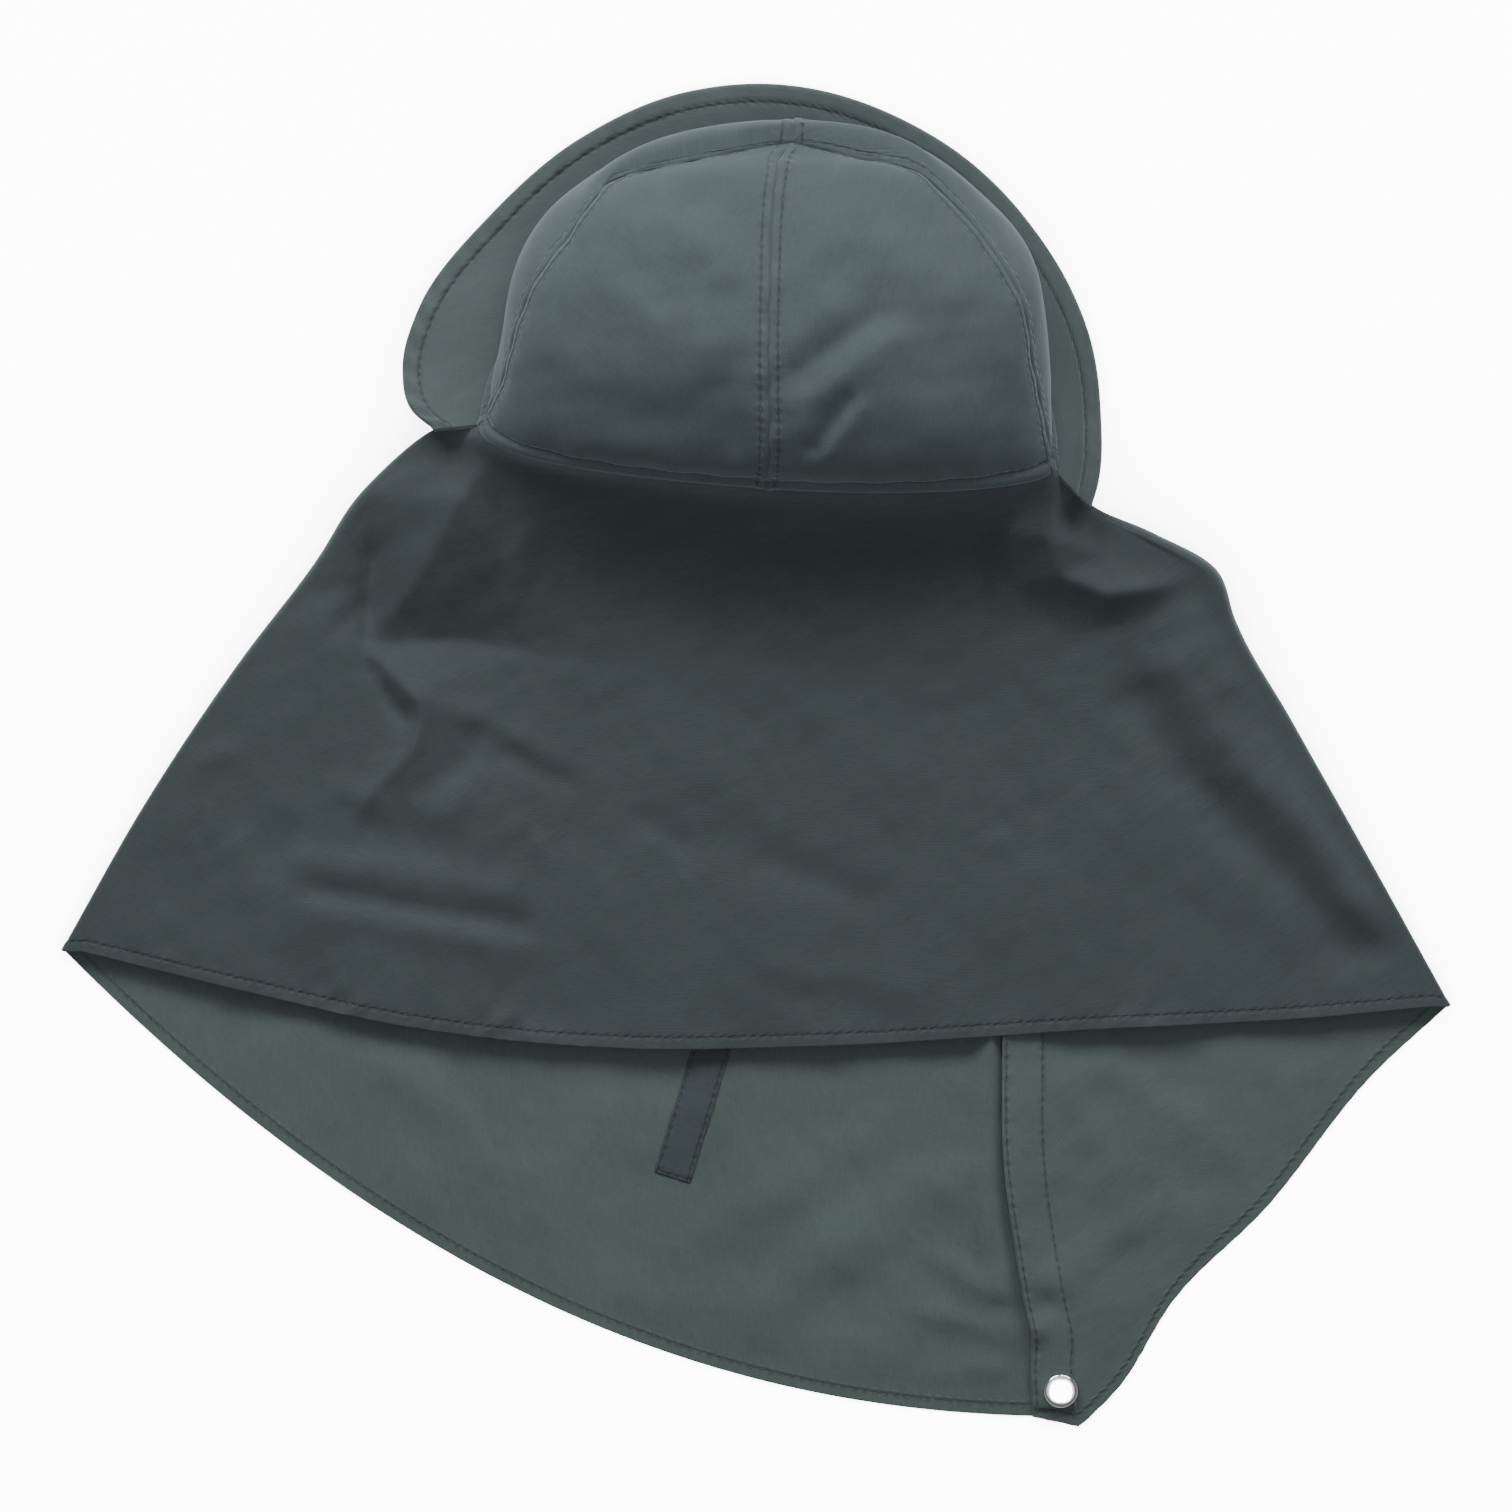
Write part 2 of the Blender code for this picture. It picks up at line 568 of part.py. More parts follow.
def snap(steel, cloths):
    """Turned cap on the facing, and a plain post below it through holes in the cloth."""
    seat = 2 * (CAPE_WALL + LAYER_GAP) + FACING_WALL + LAYER_GAP
    x = PLACKET_X + PLACKET_SWAY + SNAP_INSET
    y = CORNER_Y + SNAP_UP
    mesh = bpy.data.meshes.new("snap_cap")
    points = [(SNAP_RADIUS * out, 0, SNAP_HEIGHT * up) for out, up in SNAP_OUTLINE]
    mesh.from_pydata(points, [(i, i + 1) for i in range(len(points) - 1)], [])
    mesh.materials.append(steel)
    button = bpy.data.objects.new("snap_cap", mesh)
    button.location = (x, y, seat)
    cap.objects.link(button)
    turned = button.modifiers.new("Turn", "SCREW")
    turned.steps = turned.render_steps = 28
    turned.use_merge_vertices = True
    turned.merge_threshold = 0.00001

    def cylinder(name, radius, low, high, collection):
        bpy.ops.mesh.primitive_cylinder_add(
            vertices=20, radius=radius, depth=high - low, location=(x, y, (low + high) / 2))
        new = bpy.context.object
        new.name = new.data.name = name
        for old in list(new.users_collection):
            old.objects.unlink(new)
        collection.objects.link(new)
        return new

    post = cylinder("snap_post", POST_RADIUS, POST_CLEARANCE / 3, seat - POST_CLEARANCE, cap)
    post.data.materials.append(steel)
    hole = cylinder("snap_hole", POST_RADIUS + POST_CLEARANCE, -seat, 2 * seat, cutters)
    hole.hide_render = True
    hole.display_type = "WIRE"
    for cloth in cloths:
        cut = cloth.modifiers.new("Snap hole", "BOOLEAN")
        cut.operation = "DIFFERENCE"
        cut.object = hole


for old in list(bpy.data.objects):
    bpy.data.objects.remove(old)
cap = bpy.data.collections.new("veiled_cap")
cutters = bpy.data.collections.new("cutters")
bpy.context.scene.collection.children.link(cap)
bpy.context.scene.collection.children.link(cutters)

crown_panels(material("crown_cloth", (0.105, 0.130, 0.135), 0.8))
brim(material("brim_cloth", (0.085, 0.108, 0.108), 0.8))
cape = sheet("cape", 2 * (FRONT_COLUMNS + FOLD_COLUMNS) + BACK_COLUMNS, CAPE_ROWS,
             lambda u, up: cape_surface(u, (1 - up) ** ROW_GROWTH), CAPE_WALL,
             material("cape_cloth", (0.060, 0.075, 0.078), 0.85))
facing = placket_facing(material("facing_cloth", (0.080, 0.100, 0.092), 0.85))
tab_strap(material("tab_cloth", (0.060, 0.073, 0.077), 0.85))
snap(material("snap_steel", (0.85, 0.85, 0.86), 0.12, 1.0), [cape, facing])
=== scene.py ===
import math

import bpy
import numpy as np
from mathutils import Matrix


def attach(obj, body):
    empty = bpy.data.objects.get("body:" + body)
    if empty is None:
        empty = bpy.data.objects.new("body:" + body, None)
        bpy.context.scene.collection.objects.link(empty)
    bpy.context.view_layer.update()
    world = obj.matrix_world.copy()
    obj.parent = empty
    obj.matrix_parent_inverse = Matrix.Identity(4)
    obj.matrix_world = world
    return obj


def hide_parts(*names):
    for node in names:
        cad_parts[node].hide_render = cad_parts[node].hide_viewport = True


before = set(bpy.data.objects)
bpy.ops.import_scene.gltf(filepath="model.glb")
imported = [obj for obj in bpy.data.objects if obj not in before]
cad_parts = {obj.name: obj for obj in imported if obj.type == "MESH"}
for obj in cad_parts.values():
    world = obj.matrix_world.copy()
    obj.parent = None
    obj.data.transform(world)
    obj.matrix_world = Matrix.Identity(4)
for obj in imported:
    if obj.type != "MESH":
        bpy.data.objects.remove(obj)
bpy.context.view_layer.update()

# Crown. Four panels of a fine, crisp woven cloth are cut to curve over the head and joined by flat
# seams, stitched down on both sides. Nothing stiffens them, so the crown lies tipped forward, with
# soft dents in its back.
RING_WIDTH = 0.240
NAPE_DEPTH = 0.0173
BROW_DEPTH = 0.0837
NAPE_HEIGHT = 0.058
TEMPLE_HEIGHT = 0.042
BROW_HEIGHT = 0.0055
HEAD_X = 0.0048
HEAD_Y = 0.1289
HEAD_TURN = math.radians(-4.5)
LEFT_FULLNESS = 2.6
RIGHT_FULLNESS = 1.8
FULLNESS_REACH = 0.3
CROWN_REACH = 0.1355
CROWN_RISE = 0.098
HALF_RING = RING_WIDTH / 2

CROWN_SECTIONS = ("rise back_across back_forward back_up front_forward front_up left_across "
                  "left_forward left_up right_across right_forward right_up swell", [
    (0.15, 0.010, -0.070, 0.790, 0.723, 0.112, -0.930, 0.130, 0.590, 0.945, 0.140, 0.570, 0.22),
    (0.30, 0.000, 0.074, 0.930, 0.819, 0.204, -0.890, 0.295, 0.704, 0.880, 0.320, 0.694, 0.32),
    (0.45, -0.020, 0.266, 1.000, 0.900, 0.316, -0.833, 0.443, 0.765, 0.835, 0.480, 0.745, 0.28),
    (0.60, -0.034, 0.472, 0.990, 0.967, 0.439, -0.733, 0.583, 0.776, 0.733, 0.620, 0.765, 0.16),
    (0.75, -0.045, 0.679, 0.918, 1.000, 0.551, -0.650, 0.708, 0.755, 0.583, 0.762, 0.735, 0.06),
    (0.87, -0.040, 0.834, 0.816, 0.993, 0.640, -0.560, 0.780, 0.694, 0.400, 0.870, 0.673, 0.00),
    (0.95, -0.030, 0.885, 0.735, 0.968, 0.665, -0.300, 0.850, 0.665, 0.200, 0.890, 0.660, 0.00),
    (1.00, 0.000, 0.925, 0.670, 0.925, 0.670, 0.000, 0.925, 0.670, 0.000, 0.925, 0.670, 0.00),
])
DENT_FADE = 0.1
SLACK_FADE = 0.2
TIP_FADE = 0.1
CROWN_SLACK = ((0.0010, 0.045, 3), (0.0003, 0.016, 6))
RIPPLES, RIPPLE_LENGTHS, RIPPLE_SCALE = 14, (0.7, 1.6), 5
CREST_FALL, CREST_ROUND = 1.6, 0.02

# Dents and folds, seen from above: height and width in millimetres, how crisp the fold's crest is,
# and the points of the line it follows, across and forward, in millimetres
CROWN_DENTS = [
    (-3.6, 8, 0.3, 50, 181, 19, 158),
    (1.2, 7, 0.2, 56, 172, 27, 149),
    (1.6, 10, 0.0, 45, 213, 78, 193),
    (-2.4, 10, 0.0, 34, 197, 66, 178),
    (-3.4, 5, 0.5, 37, 146, 24, 127),
    (2.0, 5, 0.4, 43, 143, 30, 124),
    (-2.2, 9, 0.1, -19, 229, -6, 218, -1, 209),
    (1.2, 8, 0.1, -28, 215, -14, 200),
    (1.5, 12, 0.0, -60, 172, -25, 168),
    (-2.2, 10, 0.1, -55, 141, -28, 139),
    (-2.0, 8, 0.1, -14, 150, -10, 130),
    (-1.6, 9, 0.1, -85, 187, -60, 170),
    (1.3, 8, 0.1, -70, 198, -40, 178),
    (-1.4, 9, 0.1, 88, 176, 70, 155),
    (-1.4, 7, 0.2, 66, 226, 80, 207),
    (1.2, 5, 0.3, 98, 190, 104, 168),
    (-1.2, 5, 0.3, 92, 150, 104, 132),
]


def column(table, name):
    """One named column of a table, which is made of its names and its rows."""
    names, rows = table
    return np.array([row[names.split().index(name)] for row in rows])


def spline(at, stations, values):
    """Smooth curve through the values given at the stations."""
    stations, values = np.asarray(stations, float), np.asarray(values, float)
    slopes = np.gradient(values, stations, axis=0)
    at = np.clip(at, stations[0], stations[-1])
    i = np.clip(np.searchsorted(stations, at, side="right") - 1, 0, len(stations) - 2)
    gap = stations[i + 1] - stations[i]
    t = (at - stations[i]) / gap
    if values.ndim > 1:
        gap, t = gap[:, None], t[:, None]
    return ((1 + 2 * t) * (1 - t) ** 2 * values[i] + t * (1 - t) ** 2 * gap * slopes[i]
            + t * t * (3 - 2 * t) * values[i + 1] + t * t * (t - 1) * gap * slopes[i + 1])


def curve(at, table, name):
    """Smooth curve through one named column of a table, over its first column."""
    return spline(at, column(table, table[0].split()[0]), column(table, name))


def smooth_step(t):
    t = np.clip(t, 0, 1)
    return t * t * (3 - 2 * t)


def creased(plan, table):
    """Height in metres that a table of folds adds at places seen from above."""
    height = np.zeros(len(plan))
    for rise, width, crisp, *line in table:
        line = np.reshape(line, (-1, 2)) / 1000
        away = np.full(len(plan), np.inf)
        for start, end in zip(line[:-1], line[1:]):
            run = end - start
            along = np.clip((plan - start) @ run / (run @ run), 0, 1)
            away = np.minimum(away, np.linalg.norm(plan - start - along[:, None] * run, axis=1))
        away = away * 1000 / width
        soft = np.exp(-away ** 2)
        sharp = np.exp(-CREST_FALL * (np.sqrt(away ** 2 + CREST_ROUND) - math.sqrt(CREST_ROUND)))
        height += rise / 1000 * (soft + crisp * (sharp - soft))
    return height


def ripple(plan, size, seed):
    """Gentle unevenness of slack cloth, from -1 to 1, its waves about as long as size."""
    draw = np.random.default_rng(seed)
    total = np.zeros(len(plan))
    for _ in range(RIPPLES):
        heading, phase = draw.uniform(0, 2 * math.pi, 2)
        length = size * draw.uniform(*RIPPLE_LENGTHS)
        way = np.array([math.cos(heading), math.sin(heading)])
        total += np.sin(plan @ way * 2 * math.pi / length + phase)
    return total / RIPPLE_SCALE


def waves(plan, table):
    """Slack of the cloth, from the height, size and seed of each of its ripples."""
    return sum(height * ripple(plan, size, seed) for height, size, seed in table)


def wave(along, pitch, phase=0.0):
    return np.sin(2 * math.pi * along / pitch + phase)


def mound(distance, place, width):
    """1 on a line at the place, falling softly to 0 on both sides of it."""
    return np.exp(-((distance - place) / width) ** 2)


def crown_surface(turn, rise):
    """Outside of the crown. Turn runs from the nape over the right temple, the brow and the left
    temple, in radians, and rise from the ring (0) to the tip (1)."""
    turn, rise = np.broadcast_arrays(np.atleast_1d(turn), np.atleast_1d(rise))
    stations = np.append(0, column(CROWN_SECTIONS, "rise"))

    def rail(ring_point, *names):
        points = [np.zeros(len(stations) - 1) if name is None else column(CROWN_SECTIONS, name)
                  for name in names]
        points = np.stack(points, axis=1) * (HALF_RING, CROWN_REACH, CROWN_RISE)
        return spline(rise, stations, np.vstack([ring_point, points]))

    back = rail((0, -NAPE_DEPTH, NAPE_HEIGHT), "back_across", "back_forward", "back_up")
    front = rail((0, BROW_DEPTH, BROW_HEIGHT), None, "front_forward", "front_up")
    left = rail((-HALF_RING, 0, TEMPLE_HEIGHT), "left_across", "left_forward", "left_up")
    right = rail((HALF_RING, 0, TEMPLE_HEIGHT), "right_across", "right_forward", "right_up")
    swell = spline(rise, stations, np.append(0, column(CROWN_SECTIONS, "swell")))
    is_right, is_back = np.sin(turn) >= 0, np.cos(turn) >= 0
    side = np.where(is_right[:, None], right, left)
    end = np.where(is_back[:, None], back, front)
    centre = (left + right) / 2
    centre[:, 0] -= np.where(is_back, 0, np.where(is_right, 1, -1) * swell * HALF_RING)
    ring_fullness = np.where(is_back, np.where(is_right, RIGHT_FULLNESS, LEFT_FULLNESS), 2)
    fullness = 2 + (ring_fullness - 2) * (1 - smooth_step(rise / FULLNESS_REACH))
    to_side = np.abs(np.sin(turn))
    to_end = (1 - to_side ** fullness).clip(0) ** (1 / fullness)
    head = centre + to_side[:, None] * (side - centre) + to_end[:, None] * (end - centre)
    across, forward = head[:, 0], head[:, 1]
    surface = np.stack([
        HEAD_X + math.cos(HEAD_TURN) * across - math.sin(HEAD_TURN) * forward,
        HEAD_Y + math.sin(HEAD_TURN) * across + math.cos(HEAD_TURN) * forward,
        head[:, 2],
    ], axis=1)
    depth = np.where(is_back, smooth_step(rise / DENT_FADE) * (1 - to_side ** 4), 0)
    surface[:, 2] += depth * creased(surface[:, :2], CROWN_DENTS)
    slack = smooth_step(rise / SLACK_FADE) * smooth_step((1 - rise) / TIP_FADE)
    surface[:, 2] += slack * waves(surface[:, :2], CROWN_SLACK)
    return surface


def ring(turn):
    return crown_surface(turn, 0)


def steps(count, ends=1.0):
    """Stations from 0 to 1, closer together near both ends where ends is below 1."""
    t = np.linspace(0, 1, count + 1)
    return t - (1 - ends) * np.sin(2 * math.pi * t) / (2 * math.pi)


def crowded(count, places):
    """Stations from 0 to 1, closer together round each place, of which a width and a gain are given."""
    t = np.linspace(0, 1, 400)
    density = 1 + sum(gain * mound(t, place, width) for place, width, gain in places)
    total = np.append(0, np.cumsum((density[1:] + density[:-1]) / 2))
    return np.interp(np.linspace(0, total[-1], count + 1), total, t)


def unit(vectors):
    return vectors / np.maximum(np.linalg.norm(vectors, axis=-1, keepdims=True), 1e-9)


def grid_normals(points):
    return unit(np.cross(np.gradient(points, axis=0), np.gradient(points, axis=1)))


def edge_distances(points):
    """How far each point of a grid lies from its four edges, measured along the cloth."""
    across = np.linalg.norm(np.diff(points, axis=1), axis=2).cumsum(axis=1)
    across = np.pad(across, ((0, 0), (1, 0)))
    down = np.linalg.norm(np.diff(points, axis=0), axis=2).cumsum(axis=0)
    down = np.pad(down, ((1, 0), (0, 0)))
    return {"left": across, "right": across[:, -1:] - across,
            "top": down, "bottom": down[-1:] - down}


def cloth_sheet(name, surface, across, down, wall, finish, detail, outwards=1):
    """Cloth of one thickness on a surface: across and down are its stations, the top edge first.
    Detail gives the height of seams and hems, from the distances to the four edges."""
    u, v = np.meshgrid(across, down)
    points = surface(u.ravel(), v.ravel()).reshape(*u.shape, 3)
    edges = edge_distances(points)
    points = points + outwards * grid_normals(points) * detail(edges, points)[..., None]
    inner = points - outwards * grid_normals(points) * wall
    rows, columns = u.shape
    index = np.arange(rows * columns).reshape(rows, columns)
    a, b, c, d = index[:-1, :-1], index[:-1, 1:], index[1:, 1:], index[1:, :-1]
    order = (a, d, c, b) if outwards > 0 else (a, b, c, d)
    outside = np.stack([corner.ravel() for corner in order], axis=1)
    inside = outside[:, ::-1] + rows * columns
    around = np.concatenate([index[0, :], index[1:, -1], index[-1, -2::-1], index[-2:0:-1, 0]])
    ahead = np.roll(around, -1)
    rim = np.stack([around, around + rows * columns, ahead + rows * columns, ahead], axis=1)
    if outwards > 0:
        rim = rim[:, ::-1]
    faces = np.vstack([outside, inside, rim])
    mesh = bpy.data.meshes.new(name)
    mesh.from_pydata(np.vstack([points.reshape(-1, 3), inner.reshape(-1, 3)]).tolist(), [],
                     faces.tolist())
    mesh.shade_smooth()
    lengths = np.stack([edges["left"].ravel(), edges["top"].ravel()], axis=1)
    layer = mesh.uv_layers.new(name="cloth")
    layer.data.foreach_set("uv", lengths[faces.ravel() % (rows * columns)].ravel())
    for edge, distance in edges.items():
        field = mesh.attributes.new(edge, "FLOAT", "POINT")
        field.data.foreach_set("value", np.tile(distance.ravel(), 2))
    field = mesh.attributes.new("inside", "FLOAT", "POINT")
    field.data.foreach_set("value", np.repeat([0.0, 1.0], rows * columns))
    mesh.materials.append(finish)
    piece = bpy.data.objects.new(name, mesh)
    bpy.context.scene.collection.objects.link(piece)
    grids[name] = {"outside": points, "inside": inner, **edges}
    return piece


grids = {}


class Value:
    """A socket of a material, on which the usual signs add Math nodes."""

    def __init__(self, finish, socket):
        self.finish, self.socket = finish, socket

    def math(self, operation, *values):
        return self.finish.node("ShaderNodeMath", {"operation": operation}, values)

    def __add__(self, other):
        return self.math("ADD", self, other)

    def __sub__(self, other):
        return self.math("SUBTRACT", self, other)

    def __rsub__(self, other):
        return self.math("SUBTRACT", other, self)

    def __mul__(self, other):
        return self.math("MULTIPLY", self, other)

    __radd__, __rmul__ = __add__, __mul__

    def sine(self):
        return self.math("SINE", self)

    def size(self):
        return self.math("ABSOLUTE", self)


def fill(node, settings, pairs):
    """Settings of a node first, then the values or links of its sockets."""
    for name, value in dict(settings).items():
        setattr(node, name, value)
    for key, value in pairs:
        socket = node.inputs[key]
        if isinstance(value, bpy.types.NodeSocket):
            node.id_data.links.new(value, socket)
        else:
            is_colour = isinstance(value, tuple) and len(value) == 3 and socket.type == "RGBA"
            socket.default_value = (*value, 1) if is_colour else value
    return node.outputs


class Finish:
    """A material with its Principled shader, and the nodes that are added to it."""

    def __init__(self, name, roughness, metallic=0.0):
        self.material = bpy.data.materials.new(name)
        self.material.use_nodes = True
        self.tree = self.material.node_tree
        self.shader = self.tree.nodes["Principled BSDF"]
        self.set("Roughness", roughness)
        self.set("Metallic", metallic)

    def node(self, kind, settings=(), values=(), output=0):
        """A node of a type, its settings, and the values or links of its sockets in order or by name."""
        pairs = values.items() if isinstance(values, dict) else enumerate(values)
        pairs = [(key, getattr(value, "socket", value)) for key, value in pairs]
        return Value(self, fill(self.tree.nodes.new(kind), settings, pairs)[output])

    def set(self, name, value):
        fill(self.shader, (), [(name, getattr(value, "socket", value))])

    def mix(self, share, first, second):
        return self.node("ShaderNodeMix", {"data_type": "RGBA"}, {0: share, 6: first, 7: second}, 2)

    def attribute(self, name):
        return self.node("ShaderNodeAttribute", {"attribute_name": name}, (), "Fac")

    def noise(self, place, scale, detail=2.0, roughness=0.5):
        return self.node("ShaderNodeTexNoise", {}, {"Vector": place, "Scale": scale,
                         "Detail": detail, "Roughness": roughness}, "Fac")

    def scaled(self, place, factors):
        return self.node("ShaderNodeVectorMath", {"operation": "MULTIPLY"}, (place, factors))

    def bump(self, height, strength=1.0, distance=1.0):
        self.set("Normal", self.node("ShaderNodeBump", {}, {"Strength": strength, "Distance": distance,
                                                            "Height": height}))

    def band(self, value, centre, width):
        """1 on a line where the value is at the centre, falling to 0 at the width."""
        return self.node("ShaderNodeMapRange", {"interpolation_type": "SMOOTHSTEP"},
                         {0: (value - centre).size(), 1: 0.0, 2: width, 3: 1.0, 4: 0.0})


THREAD_PITCH = 0.00062
STITCH_PITCH = 0.0045
STITCH_LENGTH = 0.0031
THREAD = 0.00042
STITCH_PULL = 0.0022
STITCH_LINE = 0.0008
FIBRES_ALONG, FIBRES_ACROSS = 140, 1500


def cloth_finish(name, outside, inside, rows):
    """Matt woven cloth with a soft sheen, its colour varying at random. Rows are its lines of stitches:
    the edge they follow, and their distance from it. Along each row the colour is painted darker, darkest
    at each stitch: painted shade of the needle holes and of the groove the stitches pull."""
    finish = Finish(name, 0.8)
    place = finish.node("ShaderNodeUVMap", {"uv_map": "cloth"})
    broad = finish.noise(place, 16.0, 3.0)
    blotch = finish.noise(place, 70.0, 3.0)
    warp = finish.noise(finish.scaled(place, (FIBRES_ACROSS, FIBRES_ALONG, 1)), 1.0, 1.0)
    weft = finish.noise(finish.scaled(place, (FIBRES_ALONG, FIBRES_ACROSS, 1)), 1.0, 1.0)
    axes = finish.node("ShaderNodeSeparateXYZ", {}, (place,))
    across, down = axes, Value(finish, axes.socket.node.outputs[1])
    turn = math.pi / THREAD_PITCH
    weave = (across * turn + warp * 2).sine().size() + (down * turn + weft * 2).sine().size()
    relief = weave * 0.00002 + (warp + weft) * 0.00006 + blotch * 0.00025
    colour = finish.mix(finish.attribute("inside"), outside, inside)
    tone_and_stitch_shade = (broad - 0.5) * 0.30 + (blotch - 0.5) * 0.16 + (warp + weft - 1) * 0.26
    for edge, distance in rows:
        from_edge = finish.attribute(edge)
        along = down if edge in ("left", "right") else across
        beat = (along * (2 * math.pi / STITCH_PITCH)).sine()
        near = finish.band(from_edge, distance, STITCH_PULL)
        close = finish.band(from_edge, distance, STITCH_LINE)
        relief = relief + near * beat * 0.00016 - close * 0.00022
        # Painted shade: the colour darkens along the stitch line and more at each stitch, for the shadow
        # in the needle holes and the groove
        tone_and_stitch_shade = tone_and_stitch_shade - close * 0.20 - close * (beat + 1) * 0.14
    lightness = finish.node("ShaderNodeMapRange", {}, {0: tone_and_stitch_shade, 1: -1.0, 2: 1.0, 3: 0.0, 4: 2.0})
    colour = finish.node("ShaderNodeVectorMath", {"operation": "SCALE"}, {0: colour, "Scale": lightness})
    finish.set("Base Color", colour)
    finish.set("Roughness", 0.74 + broad * 0.12)
    finish.bump(relief)
    finish.set("Sheen Weight", 0.35)
    finish.set("Sheen Roughness", 0.45)
    finish.set("Sheen Tint", (0.72, 0.90, 0.92))
    finish.set("Specular IOR Level", 0.25)
    return finish.material


def line_inside(sheet, edge, distance, face="outside"):
    """Points of a sheet that lie a distance in from one of its edges."""
    grid = grids[sheet]
    depth, points = grid[edge], grid[face]
    if edge in ("top", "bottom"):
        depth, points = depth.T, points.transpose(1, 0, 2)
    if edge in ("right", "bottom"):
        depth, points = depth[:, ::-1], points[:, ::-1]
    return np.array([[np.interp(distance, row_depth, row[:, axis]) for axis in range(3)]
                     for row_depth, row in zip(depth, points)])


def stitch_tree():
    """Geometry Nodes that lay one small thread at each pitch along the edges of a mesh."""
    tree = bpy.data.node_groups.new("stitches", "GeometryNodeTree")
    kinds = {"Geometry": "Geometry", "Pitch": "Float", "Stitch length": "Float", "Thread": "Float",
             "Finish": "Material"}
    socket = {name: tree.interface.new_socket(name, in_out="INPUT", socket_type="NodeSocket" + kind)
              .identifier for name, kind in kinds.items()}
    tree.interface.new_socket("Geometry", in_out="OUTPUT", socket_type="NodeSocketGeometry")

    def node(kind, inputs, settings=()):
        return fill(tree.nodes.new(kind), settings, inputs.items())

    given = node("NodeGroupInput", {})
    line = node("GeometryNodeMeshToCurve", {"Mesh": given["Geometry"]})
    spaced = node("GeometryNodeResampleCurve", {"Curve": line["Curve"], "Length": given["Pitch"]},
                  {"mode": "LENGTH"})
    tangent = node("GeometryNodeInputTangent", {})
    aim = node("FunctionNodeAlignRotationToVector", {"Vector": tangent["Tangent"]}, {"axis": "Z"})
    thread = node("GeometryNodeMeshUVSphere", {"Segments": 6, "Rings": 5, "Radius": 0.5})
    size = node("ShaderNodeCombineXYZ", {"X": given["Thread"], "Y": given["Thread"],
                                         "Z": given["Stitch length"]})
    laid = node("GeometryNodeInstanceOnPoints", {"Points": spaced["Curve"], "Instance": thread["Mesh"],
                                                 "Rotation": aim["Rotation"], "Scale": size["Vector"]})
    real = node("GeometryNodeRealizeInstances", {"Geometry": laid["Instances"]})
    smooth = node("GeometryNodeSetShadeSmooth", {"Geometry": real["Geometry"]})
    painted = node("GeometryNodeSetMaterial", {"Geometry": smooth["Geometry"],
                                               "Material": given["Finish"]})
    node("NodeGroupOutput", {"Geometry": painted["Geometry"]})
    return tree, socket


stitches_by_node, stitch_socket = stitch_tree()


def stitches(name, lines, pitch=STITCH_PITCH, length=STITCH_LENGTH, thread=THREAD):
    """Rows of stitches along lines of points, as one piece."""
    mesh = bpy.data.meshes.new(name)
    points, pairs = [], []
    for line in lines:
        start = len(points)
        points += np.asarray(line).tolist()
        pairs += [(i, i + 1) for i in range(start, len(points) - 1)]
    mesh.from_pydata(points, pairs, [])
    path = bpy.data.objects.new(name + "_path", mesh)
    bpy.context.scene.collection.objects.link(path)
    sewn = path.modifiers.new("Stitches", "NODES")
    sewn.node_group = stitches_by_node
    for key, value in (("Pitch", pitch), ("Stitch length", length), ("Thread", thread),
                       ("Finish", thread_finish)):
        sewn[stitch_socket[key]] = value
    evaluated = path.evaluated_get(bpy.context.evaluated_depsgraph_get())
    piece = bpy.data.objects.new(name, bpy.data.meshes.new_from_object(evaluated))
    bpy.context.scene.collection.objects.link(piece)
    bpy.data.objects.remove(path)
    piece.data.name = name
    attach(piece, "root")
    return piece


def thread_paint(name, colour):
    """Slightly glossy twisted thread."""
    finish = Finish(name, 0.6)
    place = finish.node("ShaderNodeTexCoord", {}, (), "Object")
    twist = finish.noise(place, 2200.0, 1.0)
    finish.set("Base Color", finish.mix(twist, tuple(0.6 * c for c in colour), colour))
    finish.bump(twist, distance=0.0002)
    finish.set("Sheen Weight", 0.3)
    return finish.material


# The thread is given a darker colour than the cloth it sews: painted shade, so the stitches show as the
# dark dots of their needle holes
thread_finish = thread_paint("sewing_thread", (0.052, 0.066, 0.068))

SEAM_HALF = 0.0052
SEAM_STITCH = 0.0044
SEAM_CRACK = 0.0004
SEAM_RISE, SEAM_STEP = 0.00055, 0.0014
CRACK_DEPTH, CRACK_WIDTH = 0.0009, 0.0005
GROOVE_DEPTH, GROOVE_WIDTH = 0.0004, 0.0006
PUCKER_HEIGHT, PUCKER_WIDTH = 0.00016, 0.0022
UNEVEN_HEIGHT, UNEVEN_PITCH, UNEVEN_WIDTH = 0.0003, 0.017, 0.007
SEAM_TOP_FADE = 0.010
RING_BAND = 0.0062
RING_ROLL = 0.0016
RING_STITCH = 0.0071
RING_GROOVE_DEPTH, RING_GROOVE_WIDTH = 0.0009, 0.0011
GATHER_HEIGHT, GATHER_PITCH, GATHER_REACH, GATHER_FRONT = 0.0006, 0.021, 0.012, 0.16
PANEL_WALL = 0.0007
PANEL_TUCK = 0.004
PANEL_TOP = 0.9998
PANEL_ROW_CROWDING = 1.3
crown_finish = cloth_finish("crown_cloth", (0.069, 0.090, 0.094), (0.085, 0.112, 0.106),
                            [("left", SEAM_STITCH), ("right", SEAM_STITCH), ("bottom", RING_STITCH)])


